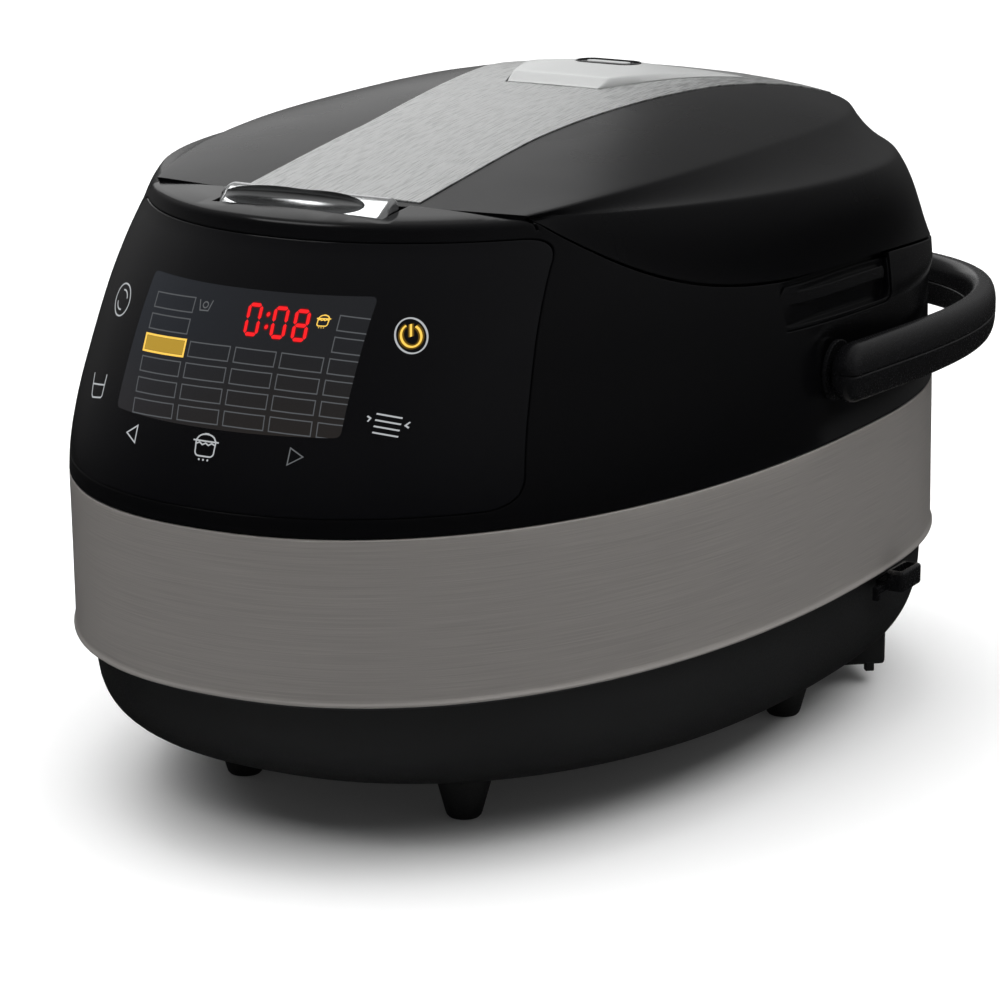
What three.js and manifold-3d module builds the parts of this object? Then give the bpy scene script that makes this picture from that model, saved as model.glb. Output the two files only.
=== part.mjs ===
// A family multicooker: a plastic body with a steel band round it, a hinged lid with a sprung catch,
// a lift-out bowl over a heating plate, and a carrying handle that swings up from behind the body.
// Millimetres, +Z up. The front faces -Y, the right side as seen from the front is +X.
// Inside this file y = 0 is the middle of the body; the last lines move the origin to the middle of
// the whole footprint, on the floor.
import * as THREE from "three";
import { mergeVertices } from "three/addons/utils/BufferGeometryUtils.js";
import Module from "manifold-3d";

const wasm = await Module();
wasm.setup();

// ---------------------------------------------------------------- driving dimensions

// Clearances
const fitGap = 0.3; // between fixed pieces that touch
const seamGap = 1; // between the lid and the body
const runningGap = 0.6; // round a piece that moves
const armGap = 0.5; // beside the handle's arms

// Plan of the body: an egg whose widest station lies behind the middle
const bodyLength = 400;
const bodyWidth = 264;
const widestBehindMiddle = 36.6;
const frontFullness = 2.26;
const rearFullness = 2.62;

// Heights
const footHeight = 17;
const tubTop = 60.5;
const bandBottom = 62.5;
const bandTop = 121.3;
const panelBottom = 128.3;
const panelTop = 212;
const deckEdge = 217;
const shelfTop = 171;
const sideSeam = 183;

// Walls
const shellWall = 3;
const tubWall = 2.6;
const bandWall = 1;
const lidWall = 3;
const linerWall = 2.2;
const sheet = 1; // thin pressed metal
const panelThickness = 1.6;
const shelfThickness = 3;

// Body shell
const frontSetback = 45.3; // how far the front leans back by the top of the panel
const frontLean = 1.8; // how late the lean sets in
const frontEasing = 0.13; // how much fullness the front loses above the band
const deckSetback = 47;
const shoulderSetback = 13; // how far the sides draw in by the deck
const bandFlare = 2.5; // the band is this much wider at its foot
const bandTuck = 4.4; // and this much shorter at each end
const deckRise = 11;
const deckCrownStart = 0.6; // the deck's crown starts this far above its edge
const scoopDepth = 2.2; // the shell is scooped a little behind each handle arm
const scoopLow = 128;
const scoopHigh = 166;
const scoopBlend = 6;
const scoopStart = -6;
const scoopRun = 22;

// Lid
const frontSeam = 121.8; // from the middle of the body to the lid's front edge
const frontSeamBow = 9.8; // the edge curves back by this much at the corners
const cornerReach = 78; // half the width at those corners
const seamClimb = 35; // how much higher the seam stands at the front corners than at the sides
const seamRun = 33; // how quickly it comes down
const seamFall = 20; // how much it drops to the rear
const seamFallStart = 23;
const lidSkirt = 30; // how far the lid's envelope reaches below the seam
const lidPeak = 239.5;
const lidPeakBehindMiddle = 110;
const lidFrontHeight = 220.4;
const ridgeInset = 6; // outer crease, where the side wall turns in, from the body's side
const ridgeFront = 176;
const ridgeRear = 136;
const ridgeFullness = [2.05, 2.2]; // ahead of and behind the widest station
const ridgeBelowFacet = 10;
const ridgeSlope = 0.025;
const facetInset = 32; // inner crease, the edge of the raised top, from the body's side
const facetFront = 208;
const facetRear = 131;
const facetBelowPeak = 13.5;
const facetPeakAt = 40;
const facetFall = 0.000288;
const facetRearFall = 0.00005;
const facetSharpness = 2.8;
const wallBulge = 2.2;
const bandHollow = 1.6;

// Brushed strip on the lid
const stripFront = 114.7;
const stripRear = 146;
const stripWaist = 35;
const stripFlare = 31; // how much wider each side is at the rear end than at the waist
const stripWaistAt = -40;
const stripThickness = 0.7;
const stripProud = 0.4;
const stripReach = 34.5; // nothing of the strip is lower than this below the peak

// Steam valve
const valveBehindMiddle = 84;
const capFront = 39.5;
const capRear = 108;
const capLevelEnd = 88; // behind this the cap's top runs down into the lid
const capFrontHalf = 19.9; // half width at its foot
const capRearHalf = 47;
const capTopFrontHalf = 18.6; // half width of its top
const capTopRearHalf = 23;
const capAbovePeak = 1.9;
const capLean = 2; // how far its front face leans back
const capProud = 0.7; // of the lid at its foot
const ventLength = 27;
const ventWidth = 12;
const valveRadius = 19.4;
const valveWall = 3;
const nozzleRadius = 9;

// Bowl, well and heating
const bowlGap = 5; // between the bowl and the well
const bowlWall = 2;
const bowlFloor = 36.3;
const bowlCorner = 34;
const bowlLip = 8;
const wellToSide = 17; // room for the heater and wiring between the well and the side
const wellFloor = 24;
const wellFloorInset = 22; // the floor's radius is this much less than the wall's
const wellShoulder = 72;
const sideHeaterZ = [92, 132];
const fuseZ = 84;
const plateInset = 8; // from the edge of the well's floor
const plateThickness = 8;
const sensorRadius = 20;
const sensorTravel = 2;

// Handle
const handlePivotY = 16.6;
const handlePivotZ = 147.5;
const handleThickness = 10.6;
const handleHeight = 22;
const handleTaper = 0.04; // how much less tall it is at the crossbar
const handleStraight = 23.4; // from the pivot to where the arms start to curve
const handleDepth = 206.7; // from there to the crossbar
const handleFullness = 2.8;
const handleNose = 10.8; // in front of the pivot
const handleDroop = 2.7; // degrees below level at rest
const pivotRadius = 5;

// Hinge
const hingeY = 180.6;
const hingeZ = 174.5;
const hingePinRadius = 2.5;
const hingeEar = 5;
const hingeHalf = 30;
const hingeBayHalf = 74;

// Release button
const buttonHalf = 33.7;
const buttonFront = 137.6;
const buttonRear = 124.6;
const buttonTop = 224;
const buttonFrontTop = 218;
const buttonFloor = 208;
const buttonPinBack = 3.1; // from the button's front
const buttonPinRise = 6; // above the floor of its well
const hookHalf = 6;
const hookReach = 3; // how far the hook's nose stands behind the seam
const hookDepth = 10; // how far the hook hangs below the floor of its well
const hookThickness = 4;
const windowHalf = 13;
const latchPocketReach = 9; // how far the liner is open behind the seam
const windowZ = [190, 206];

// Tub and feet
const tubFrontStretch = 2.75; // the hull rises this much more gently towards the front
const tubRearStretch = 1.1;
const footTopRadius = 12;
const footTipRadius = 6.5;
const footRise = 8; // how far a foot runs up beside the hull
const frontFeet = { inset: 85.5, y: -106 }; // inset from the body's side
const rearFeet = { inset: 38, y: 55 };

// Boards
const powerBoardZ = 32;
const powerBoardHalf = 56;
const powerBoardY = [-145, -84];
const boardThickness = 1.6;
const boardPostRadius = 4;
const boardPostInset = 8;
const carrierTilt = 32; // degrees, the slope of the front wall behind the display
const carrierY = -153.5;
const carrierZ = 172;
const carrierSize = [112, 3, 66];
const displaySize = [90, 4, 42];
const controlBoardSize = [104, boardThickness, 60];

// Mains inlet
const inletCorner = [112, 110]; // outer front corner
const inletTurn = 40; // degrees
const inletLength = 30;
const inletWidth = 32;
const inletLow = 7.7;
const inletHigh = 33;
const inletWall = 2.4;

// Spoon holder
const holderY = [54, 71];
const holderZ = [55.4, 63.4];
const holderReach = 7.3;
const holderWall = 1.5;
const holderStandOff = 1.3; // from the band's rolled foot
const tongueInset = 3;
const tongueThickness = 2.6;
const hookY = [47.6, 50.2];

// Recesses under the lid's rim
const recessY = [-20, 66];
const recessHeight = 18; // below the seam
const recessDepth = 6;
const recessWall = 1.4;
const recessChamfer = 4;
const recessInset = 0.5; // behind the shell's face
const ledgeHeight = 4.2;
const ledgeBelowSeam = 4.4;
const ledgeRearGap = 5;

// Control panel
const panelTopHalf = 85;
const panelBottomHalf = 92;
const panelCorner = 9;

// Lid's inside
const linerFloor = 179.5;
const linerFloorThickness = 3;
const linerTop = 211;
const plugMargin = 7; // the lid's plug is this much wider than the well
const plugFront = 177;
const bayFloor = 147;
const bayFloorThickness = 3;

// ---------------------------------------------------------------- sizes that follow

const wellRadius = bodyWidth / 2 - wellToSide;
const wellFloorRadius = wellRadius - wellFloorInset;
const bowlRadius = wellRadius - bowlGap;
const plateRadius = wellFloorRadius - plateInset;
const handleCentre = bodyWidth / 2 + handleThickness / 2 + armGap;
const facetHeight = lidPeak - facetBelowPeak;
const ridgeHeight = facetHeight - ridgeBelowFacet;
const capTop = lidPeak + capAbovePeak;
const stripLow = lidPeak - stripReach;
const buttonPinY = -buttonFront + buttonPinBack;
const buttonPinZ = buttonFloor + buttonPinRise;
const beyond = bodyLength; // past every face of the body, for cutting blocks

// ---------------------------------------------------------------- small tools

const around = 40; // stations round the body
const rearReach = bodyLength / 2 - widestBehindMiddle;
const frontReach = bodyLength / 2 + widestBehindMiddle;
const plainFullness = [frontFullness, rearFullness];
const up = new THREE.Vector3(0, 0, 1);

// One closed solid from a three.js geometry; faces that point in are turned round.
function solidOf(geometry) {
  const flat = geometry.index ? geometry.toNonIndexed() : geometry.clone();
  flat.deleteAttribute("normal");
  flat.deleteAttribute("uv");
  const merged = mergeVertices(flat, 1e-4);
  const positions = merged.attributes.position.array;
  const triangles = new Uint32Array(merged.index.array);
  const solid = new wasm.Manifold(
    new wasm.Mesh({ numProp: 3, vertProperties: positions, triVerts: triangles }),
  );
  if (solid.volume() > 0) return solid;
  return new wasm.Manifold(
    new wasm.Mesh({ numProp: 3, vertProperties: positions, triVerts: triangles.reverse() }),
  );
}

function geometryOf(solid) {
  const mesh = solid.getMesh();
  const geometry = new THREE.BufferGeometry();
  geometry.setAttribute("position", new THREE.BufferAttribute(mesh.vertProperties, 3));
  geometry.setIndex(new THREE.BufferAttribute(mesh.triVerts, 1));
  geometry.computeVertexNormals();
  return geometry;
}

const join = (first, ...others) => others.reduce((whole, other) => whole.add(other), first);
const cut = (first, ...others) => others.reduce((whole, other) => whole.subtract(other), first);
const common = (first, ...others) => others.reduce((whole, other) => whole.intersect(other), first);

function block(low, high) {
  const size = high.map((value, axis) => value - low[axis]);
  const middle = high.map((value, axis) => (value + low[axis]) / 2);
  return solidOf(new THREE.BoxGeometry(...size).translate(...middle));
}

// A round bar along X, Y or Z between two stations.
function bar(axis, radius, from, to, centre, sides = 24) {
  const geometry = new THREE.CylinderGeometry(radius, radius, to - from, sides);
  if (axis === "x") geometry.rotateZ(Math.PI / 2).translate((from + to) / 2, ...centre);
  if (axis === "y") geometry.translate(centre[0], (from + to) / 2, centre[1]);
  if (axis === "z") geometry.rotateX(Math.PI / 2).translate(...centre, (from + to) / 2);
  return solidOf(geometry);
}

// A turned piece about a vertical axis, from [radius, height] points.
function turned(profile, sides = 32) {
  const points = profile.map(([radius, height]) => new THREE.Vector2(radius, height));
  return solidOf(new THREE.LatheGeometry(points, sides).rotateX(Math.PI / 2));
}

// The same for a ring whose profile closes on itself.
const turnedRing = (profile, sides) => turned([...profile, profile[0]], sides);

// An outline of [y, z] points, extruded along X.
function sidePrism(points, fromX, toX) {
  const shape = new THREE.Shape(points.map(([y, z]) => new THREE.Vector2(y, z)));
  const geometry = new THREE.ExtrudeGeometry(shape, { depth: toX - fromX, bevelEnabled: false });
  const turn = new THREE.Matrix4().makeBasis(new THREE.Vector3(0, 1, 0), up, new THREE.Vector3(1, 0, 0));
  return solidOf(geometry.applyMatrix4(turn).translate(fromX, 0, 0));
}

// An outline of [x, y] points, extruded upwards.
function planPrism(points, fromZ, toZ) {
  const shape = new THREE.Shape(points.map(([x, y]) => new THREE.Vector2(x, y)));
  const geometry = new THREE.ExtrudeGeometry(shape, { depth: toZ - fromZ, bevelEnabled: false });
  return solidOf(geometry.translate(0, 0, fromZ));
}

// A skin through rings of equal count. Open ends are closed by a fan, or the last ring joins the first.
function loft(rings, closedOnItself = false) {
  const count = rings[0].length;
  const vertices = rings.flat();
  const faces = [];
  const bands = closedOnItself ? rings.length : rings.length - 1;
  for (let band = 0; band < bands; band += 1) {
    const here = band * count;
    const next = ((band + 1) % rings.length) * count;
    for (let i = 0; i < count; i += 1) {
      const j = (i + 1) % count;
      faces.push(here + i, here + j, next + j, here + i, next + j, next + i);
    }
  }
  if (!closedOnItself) {
    const ends = [0, rings.length - 1];
    ends.forEach((end) => {
      const centre = new THREE.Vector3();
      rings[end].forEach((point) => centre.addScaledVector(point, 1 / count));
      vertices.push(centre);
      for (let i = 0; i < count; i += 1) {
        const a = end * count + i;
        const b = end * count + ((i + 1) % count);
        if (end === 0) faces.push(vertices.length - 1, b, a);
        else faces.push(vertices.length - 1, a, b);
      }
    });
  }
  const geometry = new THREE.BufferGeometry().setFromPoints(vertices);
  geometry.setIndex(faces);
  return solidOf(geometry);
}

const mirrored = (solid) => solid.mirror([1, 0, 0]);

// A spring wound round a vertical axis.
class Coil extends THREE.Curve {
  constructor(radius, height, turns) {
    super();
    Object.assign(this, { radius, height, turns });
  }

  getPoint(t, target = new THREE.Vector3()) {
    const angle = 2 * Math.PI * this.turns * t;
    return target.set(
      this.radius * Math.cos(angle),
      this.radius * Math.sin(angle),
      this.height * t,
    );
  }
}

function spring(radius, wire, height, turns) {
  const section = new THREE.Shape().absarc(0, 0, wire / 2, 0, 2 * Math.PI);
  return solidOf(
    new THREE.ExtrudeGeometry(section, {
      steps: turns * 8,
      curveSegments: 2,
      bevelEnabled: false,
      extrudePath: new Coil(radius, height - wire, turns),
    }).translate(0, 0, wire / 2),
  );
}

// ---------------------------------------------------------------- the body's envelope

// Distance from the widest station's centre to a section's outline, at an angle from straight
// ahead, with the section drawn in by inset.
function reachAt(angle, { halfWidth, front, rear, fullness = plainFullness }, inset = 0) {
  const ahead = Math.cos(angle) > 0;
  const power = ahead ? fullness[0] : fullness[1];
  const across = Math.abs(Math.sin(angle)) / (halfWidth - inset);
  const along = Math.abs(Math.cos(angle)) / ((ahead ? front : rear) - inset);
  return (across ** power + along ** power) ** (-1 / power);
}

function pointAt(angle, reach, z) {
  return new THREE.Vector3(
    reach * Math.sin(angle),
    widestBehindMiddle - reach * Math.cos(angle),
    z,
  );
}

const angles = Array.from({ length: around }, (_, i) => (2 * Math.PI * i) / around);
const insideAngles = angles.filter((_, i) => i % 2 === 0); // inside faces need fewer stations

function ringOf(section, inset, z, stations = angles) {
  return stations.map((angle) => pointAt(angle, reachAt(angle, section, inset), z));
}

const smooth = (value) => {
  const t = Math.min(Math.max(value, 0), 1);
  return t * t * (3 - 2 * t);
};

function scoopAt(angle, z) {
  const y = widestBehindMiddle - (bodyWidth / 2) * Math.cos(angle);
  const along = smooth((y - scoopStart) / scoopRun);
  const high = smooth((z - scoopLow + scoopBlend) / scoopBlend) * smooth((scoopHigh - z) / scoopBlend);
  return scoopDepth * along * high;
}

// Half width and reaches of the shell at a height above the band.
function shellSection(z) {
  const panelShare = Math.max(z - bandTop, 0) / (panelTop - bandTop);
  const share = Math.max(z - bandTop, 0) / (deckEdge - bandTop);
  const lean = Math.min(frontSetback * panelShare ** frontLean, deckSetback);
  return {
    halfWidth: bodyWidth / 2 - shoulderSetback * share ** 3,
    front: frontReach - lean,
    rear: rearReach,
    fullness: [frontFullness - frontEasing * smooth(share * 1.8), rearFullness],
  };
}

// The shell with a closed, domed top, drawn in all round by inset.
function shellSolid(inset, fromZ) {
  const between = (low, high, shares) => shares.map((share) => low + (high - low) * share);
  const levels = [
    ...between(scoopLow, scoopHigh, [0, 0.42, 0.84, 1]),
    ...between(scoopHigh, panelTop, [0.26, 0.565, 0.8, 1]),
    deckEdge,
  ];
  const stations = inset > 0 ? insideAngles : angles;
  const rings = [fromZ, ...levels].map((z) => {
    const section = shellSection(z);
    return stations.map((angle) => {
      const reach = reachAt(angle, section, inset) - scoopAt(angle, z);
      return pointAt(angle, reach, Math.min(z, deckEdge - inset / 2));
    });
  });
  const edge = shellSection(deckEdge);
  const shares = [0.985, 0.85, 0.5];
  shares.forEach((share) => {
    const z = deckEdge - inset + deckRise * (1 - share ** 2) + deckCrownStart;
    rings.push(stations.map((angle) => pointAt(angle, share * reachAt(angle, edge, inset), z)));
  });
  return loft(rings);
}

// Height of the seam between lid and body at the sides, for a station along the body.
function seamHeight(y) {
  const climb = seamClimb * Math.exp(-(y + frontSeam - frontSeamBow) / seamRun);
  const rearShare = Math.max(y - seamFallStart, 0) / (bodyLength / 2 - seamFallStart);
  return sideSeam + climb - seamFall * rearShare ** 2;
}

// Everything above the seam, for y behind the lid's front corners.
function aboveSeam(lift) {
  const start = -(frontSeam - frontSeamBow);
  const steps = 20;
  const end = bodyLength * 0.6;
  const points = Array.from({ length: steps + 1 }, (_, i) => {
    const y = start + (end - start) * (i / steps) ** 1.3;
    return [y, seamHeight(y) + lift];
  });
  return sidePrism([...points, [end, beyond], [start, beyond]], -bodyWidth, bodyWidth);
}

// Everything behind the lid's front edge, moved back by offset.
function behindFrontSeam(offset, fromZ = 0, toZ = beyond) {
  const steps = 12;
  const edge = Array.from({ length: steps + 1 }, (_, i) => {
    const x = cornerReach * (1 - (2 * i) / steps);
    return [x, -frontSeam + frontSeamBow * (x / cornerReach) ** 2 + offset];
  });
  const side = bodyWidth;
  const corner = -frontSeam + frontSeamBow + offset;
  const rear = bodyLength;
  return planPrism([[side, corner], ...edge, [-side, corner], [-side, rear], [side, rear]], fromZ, toZ);
}

// ---------------------------------------------------------------- the lid's envelope

const lidFrontDrop = lidPeak - lidFrontHeight;
const lidFrontRun = frontSeam + lidPeakBehindMiddle;

const crownHeight = (y) => lidPeak - lidFrontDrop * ((y - lidPeakBehindMiddle) / lidFrontRun) ** 2;
function creaseHeight(y) {
  const fall = y < facetPeakAt ? facetFall : facetRearFall;
  return facetHeight - fall * (y - facetPeakAt) ** 2;
}

const ridgeAt = (y) => ridgeHeight - ridgeSlope * y;

const ridge = {
  halfWidth: bodyWidth / 2 - ridgeInset,
  front: ridgeFront,
  rear: ridgeRear,
  fullness: ridgeFullness,
};
const facet = { halfWidth: bodyWidth / 2 - facetInset, front: facetFront, rear: facetRear };

// Top of the lid inside its inner crease.
function domeHeight(x, y) {
  const angle = Math.atan2(x, widestBehindMiddle - y);
  const reach = Math.hypot(x, y - widestBehindMiddle);
  const share = reach / reachAt(angle, facet);
  const crease = creaseHeight(y);
  return crease + (crownHeight(y) - crease) * (1 - Math.min(share, 1) ** facetSharpness);
}

// The point on the seam at an angle, found by stepping to the height the outline has there.
function seamPoint(angle, inset) {
  let z = sideSeam;
  for (let step = 0; step < 12; step += 1) {
    const reach = reachAt(angle, shellSection(z), inset);
    const y = widestBehindMiddle - reach * Math.cos(angle);
    const corner = -(frontSeam - frontSeamBow);
    const target = y < corner ? deckEdge : Math.min(seamHeight(y), deckEdge);
    z += (target - z) * 0.6;
  }
  return pointAt(angle, reachAt(angle, shellSection(z), inset), z);
}

// The whole lid as a solid block, reaching below the seam; drop lowers it and draws it in.
function lidSolid(drop) {
  const inside = drop >= lidWall;
  const seam = angles.map((angle) => seamPoint(angle, drop).addScaledVector(up, -drop));
  const outerCrease = angles.map((angle) => {
    const point = pointAt(angle, reachAt(angle, ridge, drop), 0);
    return point.setZ(ridgeAt(point.y) - drop);
  });
  const innerCrease = angles.map((angle) => {
    const point = pointAt(angle, reachAt(angle, facet, drop), 0);
    return point.setZ(creaseHeight(point.y) - drop);
  });
  // Between seam and ridge, swelling outwards where the wall is tall.
  const wall = (share, swell) =>
    seam.map((point, i) => {
      const tall = Math.min(Math.max(outerCrease[i].z - point.z, 0) / 30, 1);
      const outward = new THREE.Vector3(Math.sin(angles[i]), -Math.cos(angles[i]), 0);
      const swollen = point.clone().lerp(outerCrease[i], share);
      return swollen.addScaledVector(outward, wallBulge * swell * tall);
    });
  const hollow = outerCrease.map((point, i) =>
    point.clone().lerp(innerCrease[i], 0.45).addScaledVector(up, -bandHollow),
  );
  const walls = inside ? [] : [wall(0.4, 0.8), wall(0.75, 1), wall(0.93, 0.6)];
  const shares = inside ? [0.8, 0.45] : [0.93, 0.82, 0.62, 0.35];
  const dome = shares.map((share) =>
    angles.map((angle) => {
      const point = pointAt(angle, share * reachAt(angle, facet), 0);
      return point.setZ(domeHeight(point.x, point.y) - drop);
    }),
  );
  const foot = seam.map((point) => point.clone().setZ(point.z - lidSkirt));
  return loft([foot, seam, ...walls, outerCrease, hollow, innerCrease, ...dome]);
}

// Half width of the brushed strip at a station along the lid.
function stripHalf(y) {
  const share = Math.max(y - stripWaistAt, 0) / (stripRear - stripWaistAt);
  return stripWaist + stripFlare * share ** 1.4;
}

function stripPlan(extra) {
  const steps = 12;
  const right = Array.from({ length: steps + 1 }, (_, i) => {
    const y = -stripFront - extra + ((stripFront + stripRear + 2 * extra) * i) / steps;
    return [stripHalf(y) + extra, y];
  });
  const left = right.map(([x, y]) => [-x, y]).reverse();
  return [...right, ...left];
}

const capPlan = (extra) => [
  [capFrontHalf + extra, capFront - extra],
  [capRearHalf + extra, capRear + extra],
  [-capRearHalf - extra, capRear + extra],
  [-capFrontHalf - extra, capFront - extra],
];

// The cap's block: level in front, running out into the lid behind the vent.
function capBlock() {
  const rings = [0, 0.25, 0.5, 0.71, 0.8, 0.9, 1].map((share) => {
    const y = capFront + (capRear - capFront) * share;
    const foot = capFrontHalf + (capRearHalf - capFrontHalf) * share;
    const half = capTopFrontHalf + (capTopRearHalf - capTopFrontHalf) * share;
    const past = Math.max(y - capLevelEnd, 0) / (capRear - capLevelEnd);
    const top = capTop + (domeHeight(half, y) + capProud - capTop) * smooth(past);
    const side = domeHeight(foot, y) + capProud;
    const back = share === 0 ? capLean : 0;
    return [
      new THREE.Vector3(-foot, y, stripLow),
      new THREE.Vector3(foot, y, stripLow),
      new THREE.Vector3(foot, y, side),
      new THREE.Vector3(half, y + back, top),
      new THREE.Vector3(-half, y + back, top),
      new THREE.Vector3(-foot, y, side),
    ];
  });
  return loft(rings);
}

// ---------------------------------------------------------------- base

const bandFoot = {
  halfWidth: bodyWidth / 2 + bandFlare,
  front: frontReach - bandTuck,
  rear: rearReach - bandTuck,
};
const bandHead = { halfWidth: bodyWidth / 2, front: frontReach, rear: rearReach };

// The tub's wall as [inset from the band's foot, height] from the floor up to the rim.
const tubProfile = [
  [31, footHeight],
  [20.5, footHeight + 3],
  [12.3, footHeight + 8.5],
  [7, footHeight + 16.5],
  [4.3, footHeight + 27],
  [3.5, tubTop],
];

function tubRing(profileInset, inset, z) {
  const section = {
    halfWidth: bandFoot.halfWidth - profileInset,
    front: bandFoot.front - profileInset * tubFrontStretch,
    rear: bandFoot.rear - profileInset * tubRearStretch,
  };
  return ringOf(section, inset, z);
}

function tubSolid(inset) {
  return loft(tubProfile.map(([profileInset, z]) => tubRing(profileInset, inset, z + inset)));
}

const feet = [
  ["foot_front_left", frontFeet.inset - bodyWidth / 2, frontFeet.y],
  ["foot_front_right", bodyWidth / 2 - frontFeet.inset, frontFeet.y],
  ["foot_rear_left", rearFeet.inset - bodyWidth / 2, rearFeet.y],
  ["foot_rear_right", bodyWidth / 2 - rearFeet.inset, rearFeet.y],
];

const boardPosts = [-1, 1].flatMap((side) =>
  [powerBoardY[0] + boardPostInset, powerBoardY[1] - boardPostInset].map((y) => [
    side * (powerBoardHalf - boardPostInset),
    y,
  ]),
);

function makeTub() {
  const rings = tubProfile.map(([inset, z]) => tubRing(inset, 0, z));
  const inner = [...tubProfile].reverse().map(([inset, z], i, all) => {
    const floor = i === all.length - 1 ? tubWall : tubWall * 0.8;
    return tubRing(inset, tubWall, i === 0 ? z : z + floor);
  });
  const posts = boardPosts.map(([x, y]) =>
    common(
      bar("z", boardPostRadius, footHeight + 1, powerBoardZ - fitGap, [x, y], 12),
      tubSolid(tubWall / 2),
    ),
  );
  return cut(join(loft([...rings, ...inner]), ...posts), atInlet(inletBlock(fitGap)), holderSlot());
}

function makeFoot() {
  const radii = [
    [0, 0],
    [footTipRadius - 1, 0],
    [footTipRadius, 1],
    [footTopRadius, footHeight + footRise],
    [0, footHeight + footRise],
  ];
  return turned(radii, 24);
}

// The steel band, with its foot rolled outwards.
function makeBand() {
  const lip = 0.8;
  return loft(
    [
      ringOf(bandFoot, 0, bandBottom),
      ringOf(bandFoot, -lip, bandBottom + 0.7),
      ringOf(bandFoot, 0, bandBottom + 1.8),
      ringOf(bandHead, 0, bandTop - 0.5),
      ringOf(bandHead, 0.5, bandTop),
      ringOf(bandHead, bandWall, bandTop),
      ringOf(bandFoot, bandWall, bandBottom),
    ],
    true,
  );
}

// A ledge inside the band that carries the tub's rim and the shell's foot.
function makeBandFrame() {
  const inset = bandWall + fitGap;
  const ledge = 5;
  const thickness = 2;
  const foot = (depth, z) => ringOf(bandFoot, inset + depth, z, insideAngles);
  const head = (depth, z) => ringOf(bandHead, inset + depth, z, insideAngles);
  return loft(
    [
      foot(2, tubTop + fitGap),
      foot(0, bandBottom + 1),
      head(0, bandTop - 1),
      head(0, bandTop + fitGap),
      head(ledge, bandTop + fitGap),
      head(ledge, bandTop + fitGap - thickness),
      head(thickness, bandTop - 6),
      foot(thickness, bandBottom + 6),
      foot(ledge, bandBottom + 2),
      foot(ledge, tubTop + fitGap),
    ],
    true,
  );
}

// Mains inlet under the rear right corner of the tub. It is drawn square, its mouth facing +X with
// the outer front corner at the origin, then turned to look out at the corner.
const inletMouthTop = footHeight + 2.5; // clear of the tub's underside

const atInlet = (solid) => solid.rotate([0, 0, inletTurn]).translate([...inletCorner, 0]);

function inletBlock(extra) {
  return block(
    [-inletLength - extra, -extra, inletLow - extra],
    [extra, inletWidth + extra, inletHigh + extra],
  );
}

function makeInlet() {
  const mouth = block(
    [-inletLength + inletWall, inletWall, inletLow + inletWall],
    [1, inletWidth - inletWall, inletMouthTop],
  );
  const clip = block([-8, 0, inletLow - 2.6], [-4.5, 3, inletLow + 1]);
  return atInlet(join(cut(inletBlock(0), mouth), clip));
}

function makeInletPins() {
  const y = inletWidth / 2;
  const z = (inletLow + inletWall + inletMouthTop) / 2;
  const back = -inletLength + inletWall + fitGap;
  const plate = block([back, y - 12, z - 4.3], [back + 3, y + 12, z + 4.3]);
  const pins = [-7, 0, 7].map((across) => {
    const middle = across === 0 ? z + 1.4 : z - 1.4;
    return block(
      [back + 2, y + across - 1, middle - 2],
      [back + 17, y + across + 1, middle + 2],
    );
  });
  return atInlet(join(plate, ...pins));
}

// Sleeve on the right side that takes the spoon's handle, with a small hook ahead of it.
const holderFace = bodyWidth / 2 + bandFlare + holderStandOff;
const tongueY = [holderY[0] + tongueInset, holderY[1] - tongueInset];
const tongueZ = [holderZ[0] + 0.1, holderZ[0] + 0.1 + tongueThickness];

function holderSlot() {
  return block(
    [holderFace - 14, tongueY[0] - fitGap, tongueZ[0] - fitGap],
    [holderFace + 1, tongueY[1] + fitGap, tongueZ[1] + fitGap],
  );
}

function makeSpoonHolder() {
  const outer = holderFace + holderReach;
  const corner = 2;
  const outside = planPrism(
    [
      [holderFace, holderY[0]],
      [outer - corner, holderY[0]],
      [outer, holderY[0] + corner],
      [outer, holderY[1] - corner],
      [outer - corner, holderY[1]],
      [holderFace, holderY[1]],
    ],
    ...holderZ,
  );
  const inside = block(
    [holderFace + holderWall, holderY[0] + holderWall, holderZ[0] - 1],
    [outer - holderWall, holderY[1] - holderWall, holderZ[1] + 1],
  );
  const tongue = block(
    [holderFace - 11, tongueY[0], tongueZ[0]],
    [holderFace + 0.5, tongueY[1], tongueZ[1]],
  );
  const strap = block(
    [holderFace - 2.4, hookY[0], tongueZ[0]],
    [holderFace + 0.5, tongueY[1], tongueZ[1]],
  );
  const middleY = (hookY[0] + hookY[1]) / 2;
  const tip = bar("x", 2.1, holderFace - 2.4, holderFace, [middleY, holderZ[0] - 1], 16);
  const shank = block(
    [holderFace - 2.4, hookY[0], holderZ[0] - 1],
    [holderFace, hookY[1], tongueZ[1]],
  );
  return join(cut(outside, inside), tongue, strap, shank, tip);
}

// ---------------------------------------------------------------- shell and control panel

const shelfHoleRadius = wellRadius + 1.5;
const plug = { halfWidth: wellRadius + plugMargin, front: plugFront, rear: rearReach - 5 };
const plugRearEnd = widestBehindMiddle + wellRadius + 6.4;

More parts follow.
